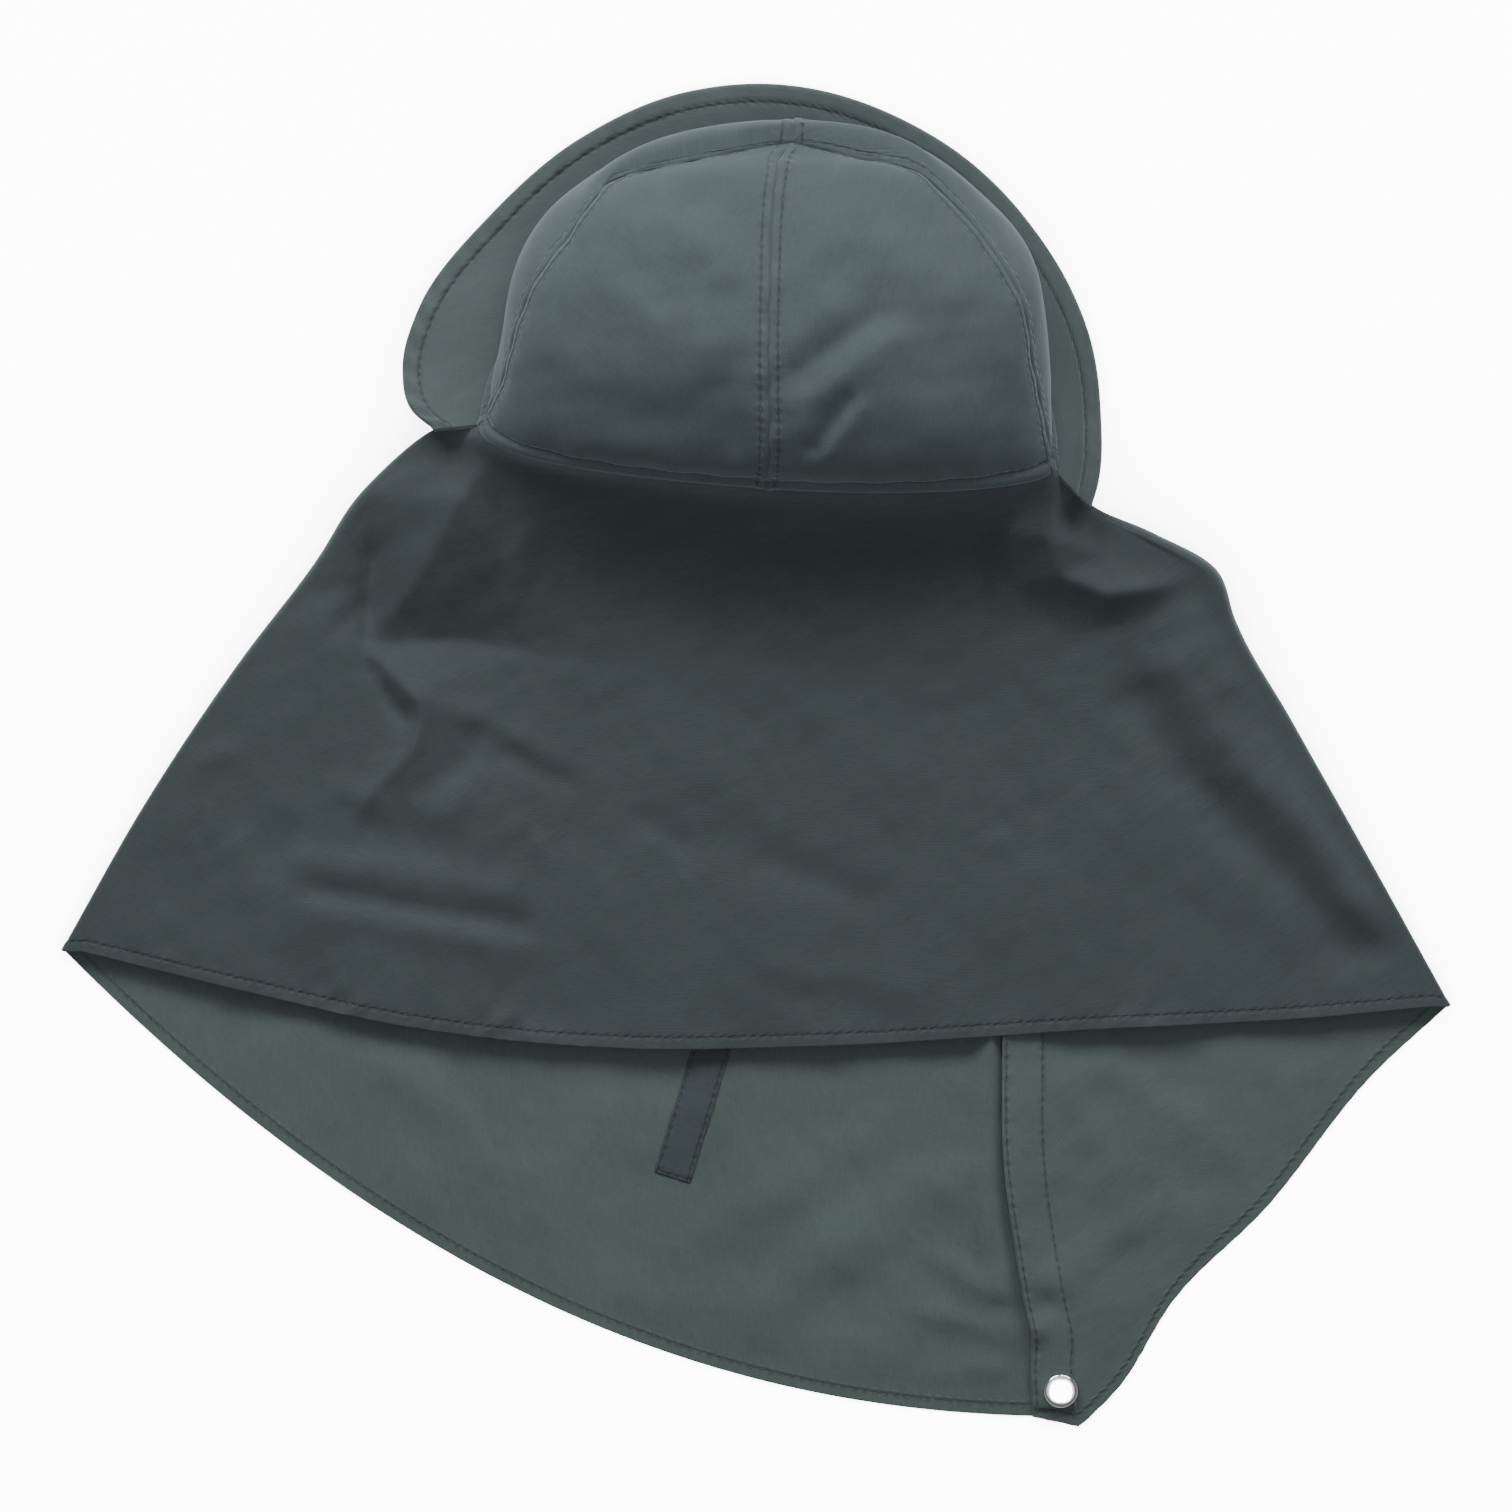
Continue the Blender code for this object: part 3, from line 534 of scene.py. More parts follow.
def seam_relief(distance, along, phase):
    """Flat seam: a crack at the edge, a raised strip, and a groove where its stitches pull."""
    strip = SEAM_RISE * (1 - smooth_step((distance - SEAM_HALF + 0.0008) / SEAM_STEP))
    crack = -CRACK_DEPTH * mound(np.maximum(distance - SEAM_CRACK, 0), 0, CRACK_WIDTH)
    groove = -GROOVE_DEPTH * mound(distance, SEAM_STITCH, GROOVE_WIDTH)
    pucker = PUCKER_HEIGHT * wave(along, STITCH_PITCH, phase) * mound(distance, SEAM_STITCH, PUCKER_WIDTH)
    uneven = UNEVEN_HEIGHT * wave(along, UNEVEN_PITCH, 2 * phase) * mound(distance, 0, UNEVEN_WIDTH)
    return strip + crack + groove + pucker + uneven


def crown_detail(edges, points):
    """Half a seam at both sides of a panel, and the rolled band and light gathers at the ring."""
    to_ring = edges["bottom"]
    height = seam_relief(edges["left"], to_ring, 0.4) + seam_relief(edges["right"], to_ring, 1.9)
    height *= smooth_step(edges["top"] / SEAM_TOP_FADE)
    back = smooth_step((GATHER_FRONT - points[..., 1] + 0.02 * (points[..., 2] > 0.03)) / 0.02)
    roll = np.sqrt(np.clip(1 - ((to_ring - RING_BAND / 2) / (RING_BAND / 2)) ** 2, 0, 1))
    height += RING_ROLL * roll - RING_GROOVE_DEPTH * mound(to_ring, RING_STITCH, RING_GROOVE_WIDTH)
    height += GATHER_HEIGHT * wave(edges["left"], GATHER_PITCH) \
        * smooth_step((to_ring - 0.003) / 0.004) * np.exp(-to_ring / GATHER_REACH) * back
    return height


PANELS = {"back_right": 0, "front_right": 1, "front_left": 2, "back_left": 3}
BACK_ROWS, BACK_FLAT, BACK_AREA = 130, (0.155, 0.18), 0.0170
FRONT_ROWS, FRONT_FLAT, FRONT_AREA = 90, (0.150, 0.15), 0.0139
for side, quarter in PANELS.items():
    def panel(across, down, start=quarter * math.pi / 2):
        share = (1 + 2 * PANEL_TUCK) * across - PANEL_TUCK
        return crown_surface(start + share * math.pi / 2, (1 - down) * PANEL_TOP)

    rows, flat, area = (BACK_ROWS, BACK_FLAT, BACK_AREA) if side.startswith("back") \
        else (FRONT_ROWS, FRONT_FLAT, FRONT_AREA)
    rows = 1 - (1 - steps(rows)) ** PANEL_ROW_CROWDING
    piece = cloth_sheet(f"crown_cloth_{side}", panel, steps(100, 0.4), rows, PANEL_WALL,
                        crown_finish, crown_detail)
    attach(piece, "root")
    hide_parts(f"crown_panel_{side}")
    sewn = stitches(f"crown_stitches_{side}",
                    [line_inside(piece.name, edge, SEAM_STITCH)[8:-1] for edge in ("left", "right")]
                    + [line_inside(piece.name, "bottom", RING_STITCH)[2:-2]])

# Brim. One curved piece of cloth over a thin stiffener, turned under at its rim and stitched down
# 8 mm in, which puckers the rim. It is sewn to the front half of the ring and lies on the table,
# its two rounded ends rising to the temples.
RING_SEAM_GAP = 0.0004
BRIM_WIDTH = 0.0712
BRIM_WALL = 0.0020
BRIM_BOW = 0.8
BRIM_HEM = 0.0080
BRIM_CLOTH = 0.0016
BRIM_STITCH_PITCH, BRIM_STITCH_LENGTH = 0.0036, 0.0026
RIM_PUCKER_PITCH, RIM_PUCKER_LEAN = 0.0125, 225
RIM_PUCKER, RIM_PUCKER_LEFT = 0.00012, 0.00040
BRIM_SLACK = ((0.00035, 0.05, 5),)
BRIM_STATIONS = ("along width bearing lift", [
    (0.00, 0.313, 131, 0.80),
    (0.05, 0.316, 103, 0.60),
    (0.10, 0.355, 92, 0.36),
    (0.20, 0.510, 71, 0.10),
    (0.30, 0.690, 53, 0.02),
    (0.40, 0.880, 27, 0.00),
    (0.50, 1.000, 5, 0.00),
    (0.60, 0.985, -7, 0.00),
    (0.70, 0.855, -19, 0.02),
    (0.80, 0.690, -36, 0.08),
    (0.90, 0.605, -62, 0.28),
    (0.95, 0.535, -78, 0.46),
    (0.975, 0.440, -92, 0.70),
    (1.00, 0.275, -100, 0.90),
])


def brim_surface(along, out):
    """Top of the brim, from the right temple to the left one, and from the ring outwards."""
    inner = ring(math.pi / 2 + along * math.pi) - (0, 0, RING_SEAM_GAP)
    bearing = np.radians(curve(along, BRIM_STATIONS, "bearing")) - HEAD_TURN
    step = (BRIM_WIDTH * curve(along, BRIM_STATIONS, "width") * out)[:, None]
    plan = inner[:, :2] + step * np.stack([np.sin(bearing), np.cos(bearing)], axis=1)
    edge = BRIM_WALL + TEMPLE_HEIGHT * curve(along, BRIM_STATIONS, "lift")
    return np.column_stack([plan, inner[:, 2] + (edge - inner[:, 2]) * out ** BRIM_BOW])


def brim_detail(edges, points):
    """Turned rim and its row of stitches, which pucker the rim, most of all on the left."""
    rim, along = edges["bottom"], edges["left"][-1:]
    band = smooth_step(rim / 0.0012) * (1 - smooth_step((rim - BRIM_HEM + 0.001) / 0.001))
    height = -0.0006 * (1 - smooth_step(rim / 0.0015)) + 0.0003 * band
    height -= 0.0005 * mound(rim, BRIM_HEM, 0.0009)
    left = smooth_step((-0.02 - points[..., 0]) / 0.05)
    pucker = wave(along, RIM_PUCKER_PITCH, RIM_PUCKER_LEAN * (rim - BRIM_HEM))
    height += (RIM_PUCKER + RIM_PUCKER_LEFT * left) * (1 + pucker) * band
    height *= smooth_step(np.minimum(edges["left"], edges["right"]) / 0.004)
    slack = waves(points[..., :2].reshape(-1, 2), BRIM_SLACK).reshape(rim.shape)
    return height + slack * smooth_step(edges["top"] / 0.01)


brim_finish = cloth_finish("brim_cloth", (0.066, 0.085, 0.085), (0.069, 0.089, 0.088),
                           [("bottom", BRIM_HEM)])
brim_piece = cloth_sheet("brim_cloth", lambda along, out: brim_surface(1 - along, out),
                         steps(300, 0.6), steps(56), BRIM_CLOTH, brim_finish, brim_detail,
                         outwards=-1)
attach(brim_piece, "root")
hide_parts("brim")
brim_stitches = stitches("brim_stitches", [line_inside("brim_cloth", "bottom", BRIM_HEM)],
                         pitch=BRIM_STITCH_PITCH, length=BRIM_STITCH_LENGTH)

# Cape. One long piece of the same cloth, hemmed below and sewn to the back half of the ring. It
# hangs over the nape, wraps round both sides, and its two front pieces lie underneath, face down.
# The folds are the ones it fell into when it was laid out.
CAPE_SPAN = 0.5872
CAPE_LENGTH = 0.2366
FRONT_DROP = 0.1588
CAPE_LIFT = 0.0012
CAPE_CLOTH = 0.0006
TEMPLE_FOLD_RADIUS = 0.0018
FOLD_SQUASH = 0.4
FOLD_REACH = 0.24
EDGE_FADE = 0.04
DRAPE_FADE = 0.025
HEM_SWEEP = 2.2
FACE_EDGE_SAG = 0.15
LEFT_TIP_BACK = 0.818
RIGHT_TIP_BACK = 0.917
FOLD_FALL = 4
HEM_SHARE = 0.038
TOP_TUCK = 0.0034
BACK_SLACK = ((0.0009, 0.050, 7), (0.00025, 0.017, 8))
CRUMPLE = 0.0005
HALF_SPAN = CAPE_SPAN / 2
NAPE_Y = HEAD_Y - NAPE_DEPTH
HEM_Y = NAPE_Y - CAPE_LENGTH
CORNER_Y = HEM_Y - FRONT_DROP
PLACKET_X = 0.104
PLACKET_LENGTH = 0.240
PLACKET_SWAY = 0.013
OVERLAP = 0.020
LAYER_GAP = 0.0003
HEM_CORNER_DROP = 0.0042
STEP_DOWN = 0.025
CORNER_SHARE = 11 / 12

# Side folds, from the ring down: how far down the cape, across and back, the height of the fold's
# top and bottom as shares of the temple's, and the bearing that it faces
LEFT_FOLD = [
    (0.10, 0.125, 0.008, 0.56, 0.34, 140),
    (0.20, 0.284, 0.119, 0.50, 0.13, 147),
    (0.32, 0.395, 0.251, 0.38, 0.00, 149),
    (0.50, 0.572, 0.440, 0.31, 0.00, 147),
    (0.75, 0.798, 0.713, 0.24, 0.00, 148),
    (1.00, 1.000, 1.000, 0.17, 0.00, 150),
]
RIGHT_FOLD = [
    (0.10, 0.110, 0.066, 0.50, 0.28, 58),
    (0.19, 0.258, 0.115, 0.60, 0.16, 56),
    (0.27, 0.409, 0.179, 0.56, 0.04, 44),
    (0.35, 0.460, 0.275, 0.46, 0.00, 30),
    (0.55, 0.601, 0.463, 0.34, 0.00, 29),
    (0.78, 0.790, 0.715, 0.26, 0.00, 28),
    (1.00, 1.000, 1.000, 0.17, 0.00, 27),
]
BACK_SECTIONS = ("down drop flat", [
    (0.00, 1.00, 0.34),
    (0.10, 0.56, 0.34),
    (0.20, 0.16, 0.33),
    (0.27, 0.05, 0.32),
    (0.36, 0.00, 0.31),
    (0.45, 0.00, 0.30),
    (0.75, 0.00, 0.27),
    (1.00, 0.00, 0.20),
])
BACK_HEM = ("across back", [
    (-0.97, 0.829),
    (-0.75, 0.895),
    (-0.50, 0.962),
    (-0.20, 0.999),
    (0.10, 0.994),
    (0.50, 0.963),
    (0.80, 0.942),
    (0.97, 0.922),
])
RIGHT_HEM = ("along across back", [
    (0.00, 0.000, 0.000),
    (0.14, 0.120, 0.108),
    (0.30, 0.250, 0.293),
    (0.56, 0.520, 0.532),
    (0.80, 0.780, 0.820),
    (1.00, 1.000, 1.000),
])
PLACKET_EDGE = ("down sway", [
    (0.00, 0.00),
    (0.33, 0.00),
    (0.57, 0.07),
    (0.70, 0.40),
    (0.80, 0.72),
    (0.86, 0.95),
    (0.92, 0.92),
    (1.00, 1.00),
])

# Folds of the back, in the same columns as the crown's dents
BACK_FOLDS = [
    (3.4, 6, 0.6, -165, 46, -154, 34, -143, 25, -141, 15, -144, 4, -156, -10, -165, -19),
    (-3.4, 5, 0.4, -160, 36, -152, 21, -148, 18),
    (2.0, 7, 0.3, -143, 24, -126, 19, -109, 12, -93, 0, -75, -9),
    (-1.8, 6, 0.3, -104, 0, -96, -5, -78, -12),
    (-2.6, 9, 0.2, -134, -12, -120, 0, -116, 8),
    (1.4, 6, 0.4, -133, -22, -116, -8),
    (-1.4, 6, 0.2, -103, 32, -103, 12),
    (1.6, 5, 0.4, -237, -2, -223, 1),
    (-2.4, 13, 0.0, -204, -38, -143, -40),
    (2.2, 8, 0.2, -190, -44, -150, -48, -104, -58),
    (-2.6, 6, 0.4, -186, -57, -147, -64, -100, -72),
    (1.6, 7, 0.3, -186, -65, -147, -72, -100, -80),
    (1.8, 6, 0.3, -217, -36, -213, -58),
    (-1.5, 6, 0.3, -104, 3, -75, -9),
    (-1.6, 6, 0.3, -49, -27, -28, -38),
    (-1.3, 7, 0.2, 4, -44, 48, -60),
    (1.3, 8, 0.1, 10, -90, 60, -96),
    (7.0, 14, 0.2, 176, 37, 193, 12, 214, -12, 233, -31, 250, -50, 262, -62),
    (-4.0, 11, 0.1, 159, 23, 176, -2, 197, -25, 216, -44, 233, -63, 243, -78),
    (4.0, 8, 0.2, 258, -60, 278, -66),
    (-1.8, 8, 0.2, 252, -84, 275, -79),
    (1.6, 8, 0.2, 178, 60, 196, 30),
    (-1.2, 10, 0.2, 92, 20, 118, -20),
    (0.9, 5, 0.4, -40, 100, 0, 96, 30, 98),
    (0.8, 5, 0.4, 20, 88, 60, 92),
]

# Large facets of the back, where it stretches from the temples down to the table: points as across,
# forward and up in millimetres, how far they replace the smooth drape, and the facets between them
DRAPE_SOFTNESS = 0.0019
LEFT_DRAPE = [
    (-123.7, 131.6, 38, 0), (-123.7, 107, 37, 1), (-139.6, 78.7, 23.5, 1),
    (-164.8, 47, 8, 1), (-167.5, 109.6, 19, 0.3), (-162.5, 84, 11, 1),
    (-163.8, 60, 8, 1), (-126.4, 48.8, 8, 1), (-105.2, 46.1, 9, 1),
    (-85.8, 41.7, 11, 0.6), (-108, 131, 45, 0), (-78.7, 122.8, 51, 0),
    (-105, 80, 24, 1), (-50, 118, 56, 0), (-50, 80, 27, 0),
    (-55, 42, 14, 0), (-173, 30, 12, 0), (-150, 30, 13, 0),
    (-126, 30, 13, 0), (-104, 28, 13, 0), (-80, 24, 13, 0),
    (-178, 88, 17, 0), (-180, 62, 15, 0), (-180, 45, 14, 0),
]
LEFT_FACETS = [
    (0, 1, 4), (4, 1, 5), (1, 2, 5), (5, 2, 6), (2, 3, 6), (0, 10, 1), (1, 10, 12), (1, 12, 2),
    (2, 12, 7), (2, 7, 3), (12, 8, 7), (10, 11, 12), (12, 11, 14), (11, 13, 14), (12, 14, 9),
    (12, 9, 8), (14, 15, 9), (3, 7, 17), (7, 18, 17), (7, 8, 18), (8, 19, 18), (8, 9, 19),
    (9, 20, 19), (9, 15, 20), (3, 17, 16), (3, 16, 23), (6, 3, 23), (6, 23, 22), (5, 6, 22),
    (5, 22, 21), (4, 5, 21),
]
RIGHT_DRAPE = [
    (125.5, 120, 40, 0), (124.5, 110.5, 39, 1), (121.7, 102, 38, 1),
    (123, 91.4, 36, 1), (127.5, 75.5, 29, 1), (133, 105, 25, 1),
    (143.5, 104.5, 20, 0), (147, 95, 21, 0.8), (147.7, 84, 22, 1),
    (163, 89, 23, 0.6), (147.7, 67.7, 27, 1), (166.8, 70.3, 26, 1),
    (194, 78, 22, 0), (112, 117, 44, 0), (106, 94, 37.5, 1),
    (93, 86, 31, 0), (106, 72, 23, 0.6), (98, 54, 15, 0),
    (120, 55, 14, 0), (140, 50, 14, 0), (160, 52, 14, 0),
    (187, 62, 15, 0), (180, 92, 20, 0),
]
RIGHT_FACETS = [
    (0, 1, 13), (1, 14, 13), (1, 2, 14), (2, 3, 14), (3, 16, 14), (3, 4, 16), (14, 16, 15),
    (13, 14, 15), (4, 18, 16), (16, 18, 17), (15, 16, 17), (0, 5, 1), (0, 6, 5), (1, 5, 2),
    (2, 5, 3), (3, 5, 8), (5, 6, 7), (5, 7, 8), (3, 8, 4), (4, 8, 10), (7, 6, 9), (7, 9, 8),
    (8, 9, 11), (8, 11, 10), (9, 12, 11), (4, 10, 19), (4, 19, 18), (10, 11, 20), (10, 20, 19),
    (11, 12, 21), (11, 21, 20), (6, 22, 9), (9, 22, 12),
]


def faceted(plan, points, facets):
    """How far the facets replace the smooth drape, and their height times that share."""
    points = np.array(points) / (1000, 1000, 1000, 1)
    ring_angles = np.arange(8) * math.pi / 4
    circle = np.column_stack([np.cos(ring_angles), np.sin(ring_angles)])
    offsets = np.vstack([(0, 0), DRAPE_SOFTNESS * circle])
    total = np.zeros((len(plan), 2))
    for offset in offsets:
        shown = np.zeros((len(plan), 2))
        for facet in facets:
            a, b, c = points[list(facet)]
            (bx, by), (cx, cy) = b[:2] - a[:2], c[:2] - a[:2]
            way = plan + offset - a[:2]
            size = bx * cy - by * cx
            to_b = (way[:, 0] * cy - way[:, 1] * cx) / size
            to_c = (bx * way[:, 1] - by * way[:, 0]) / size
            within = (to_b >= 0) & (to_c >= 0) & (to_b + to_c <= 1)
            up, share = (a + to_b[within, None] * (b - a) + to_c[within, None] * (c - a))[:, 2:].T
            shown[within] = np.stack([share, share * up], axis=1)
        total += shown
    return (total / len(offsets)).T


def fold_line(down, side):
    """Top line of a side fold, its radius and the direction that it faces. Side is -1 or 1."""
    table, tip_back = (LEFT_FOLD, LEFT_TIP_BACK) if side < 0 else (RIGHT_FOLD, RIGHT_TIP_BACK)
    stations, across, back, top, bottom, bearing = np.array(table).T
    temple = ring(side * math.pi / 2)[0] - (0, 0, RING_SEAM_GAP)
    tip = np.array([side * HALF_SPAN, NAPE_Y - tip_back * CAPE_LENGTH])
    edge = temple[:2] + np.stack([across, back], axis=1) * (tip - temple[:2])
    radius = TEMPLE_HEIGHT * (top - bottom) / 2
    facing = np.stack([np.cos(np.radians(bearing)), np.sin(np.radians(bearing))], axis=1)
    line = np.column_stack([edge - facing * FOLD_SQUASH * radius[:, None], TEMPLE_HEIGHT * top])
    stations = np.append(0, stations)
    line = spline(down, stations, np.vstack([temple, line]))
    radius = np.minimum(spline(down, stations, np.append(TEMPLE_FOLD_RADIUS, radius)), line[:, 2] / 2)
    facing = spline(down, stations, np.vstack([facing[0], facing]))
    return line, radius, facing


def fold(share, down, side):
    """Half round of a side fold, from its top line (share 0) down to its underside (1)."""
    line, radius, facing = fold_line(down, side)
    angle = share * math.pi
    out = (FOLD_SQUASH * radius * np.sin(angle))[:, None] * facing
    return np.column_stack([line[:, :2] + out, line[:, 2] - radius * (1 - np.cos(angle))])


def stretched(across, down, top, bottom, left, right):
    """Sheet stretched between four edges; top and bottom run across, left and right down."""
    zero, one = np.zeros(1), np.ones(1)
    s, v = across[:, None], down[:, None]
    corners = ((1 - s) * (1 - v) * top(zero) + s * (1 - v) * top(one)
               + (1 - s) * v * bottom(zero) + s * v * bottom(one))
    return (1 - v) * top(across) + v * bottom(across) + (1 - s) * left(down) + s * right(down) - corners


def back_top(share):
    """Top edge of the back, which passes up behind the crown's edge between the temples."""
    tucked = (1 - (2 * share - 1) ** 8)[:, None] * (0, TOP_TUCK / 2, TOP_TUCK)
    return ring((2 * share - 1) * math.pi / 2) - (0, 0, RING_SEAM_GAP) + tucked


def back_hem(share):
    left, right = fold_line(np.ones(1), -1)[0][0], fold_line(np.ones(1), 1)[0][0]

    def hem_y(x):
        return NAPE_Y - curve(x / HALF_SPAN, BACK_HEM, "back") * CAPE_LENGTH

    x = left[0] + share * (right[0] - left[0])
    ends = hem_y(np.array([left[0], right[0]]))
    y = hem_y(x) + (1 - share) * (left[1] - ends[0]) + share * (right[1] - ends[1])
    return np.column_stack([x, y, left[2] + share * (right[2] - left[2])])


def back_layer(share, down):
    """Outside of the cape's back, from the left fold (share 0) to the right one (1)."""
    plan = stretched(share, down, back_top, back_hem,
                     lambda v: fold_line(v, -1)[0], lambda v: fold_line(v, 1)[0])[:, :2]

    def middle_height(s, v):
        drop = curve(v, BACK_SECTIONS, "drop")
        return drop * back_top(s)[:, 2] + (1 - drop) * TEMPLE_HEIGHT * curve(v, BACK_SECTIONS, "flat")

    height = middle_height(share, down)
    for side, near in ((-1, share), (1, 1 - share)):
        edge = np.full_like(share, (side + 1) / 2)
        rise = fold_line(down, side)[0][:, 2] - middle_height(edge, down)
        height += rise * (1 - smooth_step(near / FOLD_REACH))
    for points, facets in ((LEFT_DRAPE, LEFT_FACETS), (RIGHT_DRAPE, RIGHT_FACETS)):
        near_edge = np.minimum(np.minimum(share, 1 - share), down)
        replaced, up = faceted(plan, points, facets) * smooth_step(near_edge / DRAPE_FADE)
        height = height * (1 - replaced) + up
    fade = smooth_step(share / EDGE_FADE) * smooth_step((1 - share) / EDGE_FADE) \
        * smooth_step(down / EDGE_FADE)
    crumpled = CRUMPLE * np.maximum(ripple(plan, 0.060, 21), 0) * ripple(plan, 0.014, 22)
    slack = waves(plan, BACK_SLACK) + crumpled
    return np.column_stack([plan, height + fade * (creased(plan, BACK_FOLDS) + slack)])


def placket_edge(down):
    """Front edge of the right front piece."""
    y = CORNER_Y + HEM_CORNER_DROP + (1 - down) * PLACKET_LENGTH
    x = PLACKET_X + curve(down, PLACKET_EDGE, "sway") * PLACKET_SWAY
    return np.column_stack([x, y, np.zeros_like(down)])


PLACKET_LIFT = ((-0.278, -0.262, -0.236, -0.19, -0.05), (0.0, 0.0006, 0.0036, 0.0042, 0.0026))
PLACKET_LIFT_REACH = 0.016
BUCKLE_DEPTH, BUCKLE_Y, BUCKLE_IN = 0.0022, -0.232, 0.009


def placket_lift(from_edge, y):
    """How far the right front piece stands off the table near its front edge."""
    buckle = BUCKLE_DEPTH * mound(y, BUCKLE_Y, 0.006) * mound(from_edge, BUCKLE_IN, 0.007)
    near = mound(np.maximum(from_edge, 0), 0, PLACKET_LIFT_REACH)
    return np.interp(y, *PLACKET_LIFT) * near - buckle


FRONT_FOLDS = [
    (7.0, 4.5, 0.3, 99, -118, 99, -170, 100, -200, 104, -226),
    (2.2, 5, 0.4, 78, -212, 96, -226, 107, -240, 118, -243),
    (2.0, 5, 0.4, 70, -236, 92, -240, 108, -249),
    (1.6, 6, 0.3, 78, -262, 100, -257),
    (1.6, 10, 0.2, 0, -236, 60, -190, 88, -176),
    (1.4, 8, 0.2, -20, -200, 30, -176, 60, -150),
    (1.4, 10, 0.1, -150, -130, -90, -195),
    (1.4, 8, 0.2, 130, -140, 150, -170, 158, -200),
    (1.4, 9, 0.1, 150, -130, 200, -168),
    (1.4, 8, 0.2, 128, -222, 150, -204, 175, -190),
    (1.2, 8, 0.1, -110, -235, -60, -225, -20, -250),
]
FRONT_SLACK = ((0.0009, 0.048, 11), (0.00025, 0.016, 12))
FRONT_BASE = 0.0007
FRONT_FADE, FREE_FADE = 0.15, 0.1


def front_slack(plan):
    """Height that slack adds to the front pieces and to everything sewn to them."""
    return np.maximum(creased(plan, FRONT_FOLDS) + waves(plan, FRONT_SLACK) + FRONT_BASE, 0)


def front_layer(share, down, side):
    """Outside of a front piece, from its side fold (share 0) to its placket edge (1)."""
    under = OVERLAP if side < 0 else 0

    def fold_edge(v):
        line, radius, _ = fold_line(v, side)
        return line - np.column_stack([np.zeros((len(v), 2)), 2 * radius])

    def free_edge(v):
        return placket_edge(v) + (under, 0, 0)

    def hem(s):
        tip, end = fold_edge(np.ones(1))[0], free_edge(np.ones(1))[0]
        if side < 0:
            return tip + np.column_stack([s, 1 - (1 - s) ** HEM_SWEEP, s]) * (end - tip)
        corner = end + (OVERLAP, -HEM_CORNER_DROP, 0)
        reach = 1 - s / CORNER_SHARE
        shares = np.column_stack([curve(np.clip(reach, 0, 1), RIGHT_HEM, name)
                                  for name in ("across", "back")])
        swept = np.column_stack([corner[:2] + shares * (tip - corner)[:2], np.zeros_like(s)])
        past = (-reach * CORNER_SHARE / (1 - CORNER_SHARE))[:, None]
        return np.where(reach[:, None] < 0, corner + past * (end - corner), swept)

    def face_edge(s):
        start, end = fold_edge(np.zeros(1))[0], free_edge(np.zeros(1))[0]
        bend = (start + end) / 2 + (0, -FACE_EDGE_SAG * (start[1] - end[1]), 0)
        s = s[:, None]
        return (1 - s) ** 2 * start + 2 * s * (1 - s) * bend + s * s * end

    plan = stretched(share, down, face_edge, hem, fold_edge, free_edge)
    height = fold_edge(down)[:, 2] * (1 - share) ** FOLD_FALL
    fade = smooth_step(share / FRONT_FADE) * smooth_step((1 - down) / FREE_FADE)
    height += fade * front_slack(plan[:, :2]) * (smooth_step((1 - share) / FREE_FADE) if side < 0 else 1)
    if side > 0:
        from_edge = plan[:, 0] - free_edge(down)[:, 0]
        height += (CAPE_LIFT + LAYER_GAP) * (1 - smooth_step((from_edge - OVERLAP) / STEP_DOWN))
        height += placket_lift(from_edge, plan[:, 1])
    return np.column_stack([plan[:, :2], height])


CAPE_PARTS = [(64, lambda s, v: front_layer(1 - s, v, -1)), (12, lambda s, v: fold(1 - s, v, -1)),
              (228, back_layer), (12, lambda s, v: fold(s, v, 1)),
              (74, lambda s, v: front_layer(s, v, 1))]


def cape_surface(across, down):
    """Outside of the whole cape, from the left placket edge round the back to the right one."""
    ends = np.cumsum([count for count, _ in CAPE_PARTS])
    position = across * ends[-1]
    part = np.clip(np.searchsorted(ends, position - 1e-6, side="left"), 0, len(ends) - 1)
    points = np.zeros((len(across), 3))
    for index, (count, sheet) in enumerate(CAPE_PARTS):
        chosen = part == index
        share = np.clip((position[chosen] - (ends[index] - count)) / count, 0, 1)
        points[chosen] = sheet(share, down[chosen])
    return points


COLUMN_CROWDING = [(0.27, 0.12, 1.2), (0.76, 0.09, 0.9)]
ROW_CROWDING = [(0.30, 0.18, 0.8)]
HEM_STITCH = 0.0050
HEM_EDGE = 0.0008
HEM_PUCKER, HEM_PUCKER_PITCH = 0.00016, 0.0092
CAPE_STITCH_PITCH, CAPE_STITCH_LENGTH = 0.0034, 0.0025


def cape_detail(edges, points):
    """Turned hem, the groove of its stitches and the slight puckers that they pull."""
    hem = edges["bottom"]
    height = -0.00025 * mound(hem, HEM_STITCH, HEM_EDGE)
    height += 0.00010 * (1 - smooth_step((hem - HEM_STITCH) / HEM_EDGE))
    return height + HEM_PUCKER * wave(edges["left"], HEM_PUCKER_PITCH) * mound(hem, 0, 0.0060)


cape_finish = cloth_finish("cape_cloth", (0.047, 0.060, 0.062), (0.072, 0.098, 0.092),
                           [("bottom", HEM_STITCH)])
columns = sum(count for count, _ in CAPE_PARTS)
cape_across = np.linspace(0, 1, columns + 1)
back_start = CAPE_PARTS[0][0] + CAPE_PARTS[1][0]
back_columns = CAPE_PARTS[2][0]
cape_across[back_start:back_start + back_columns + 1] = (
    back_start + back_columns * crowded(back_columns, COLUMN_CROWDING)) / columns
cape_down = np.concatenate([(1 - HEM_SHARE) * crowded(103, ROW_CROWDING),
                            1 - np.linspace(HEM_SHARE, 0, 20)[1:]])
cape_piece = cloth_sheet("cape_cloth", cape_surface, cape_across, cape_down,
                         CAPE_CLOTH, cape_finish, cape_detail)
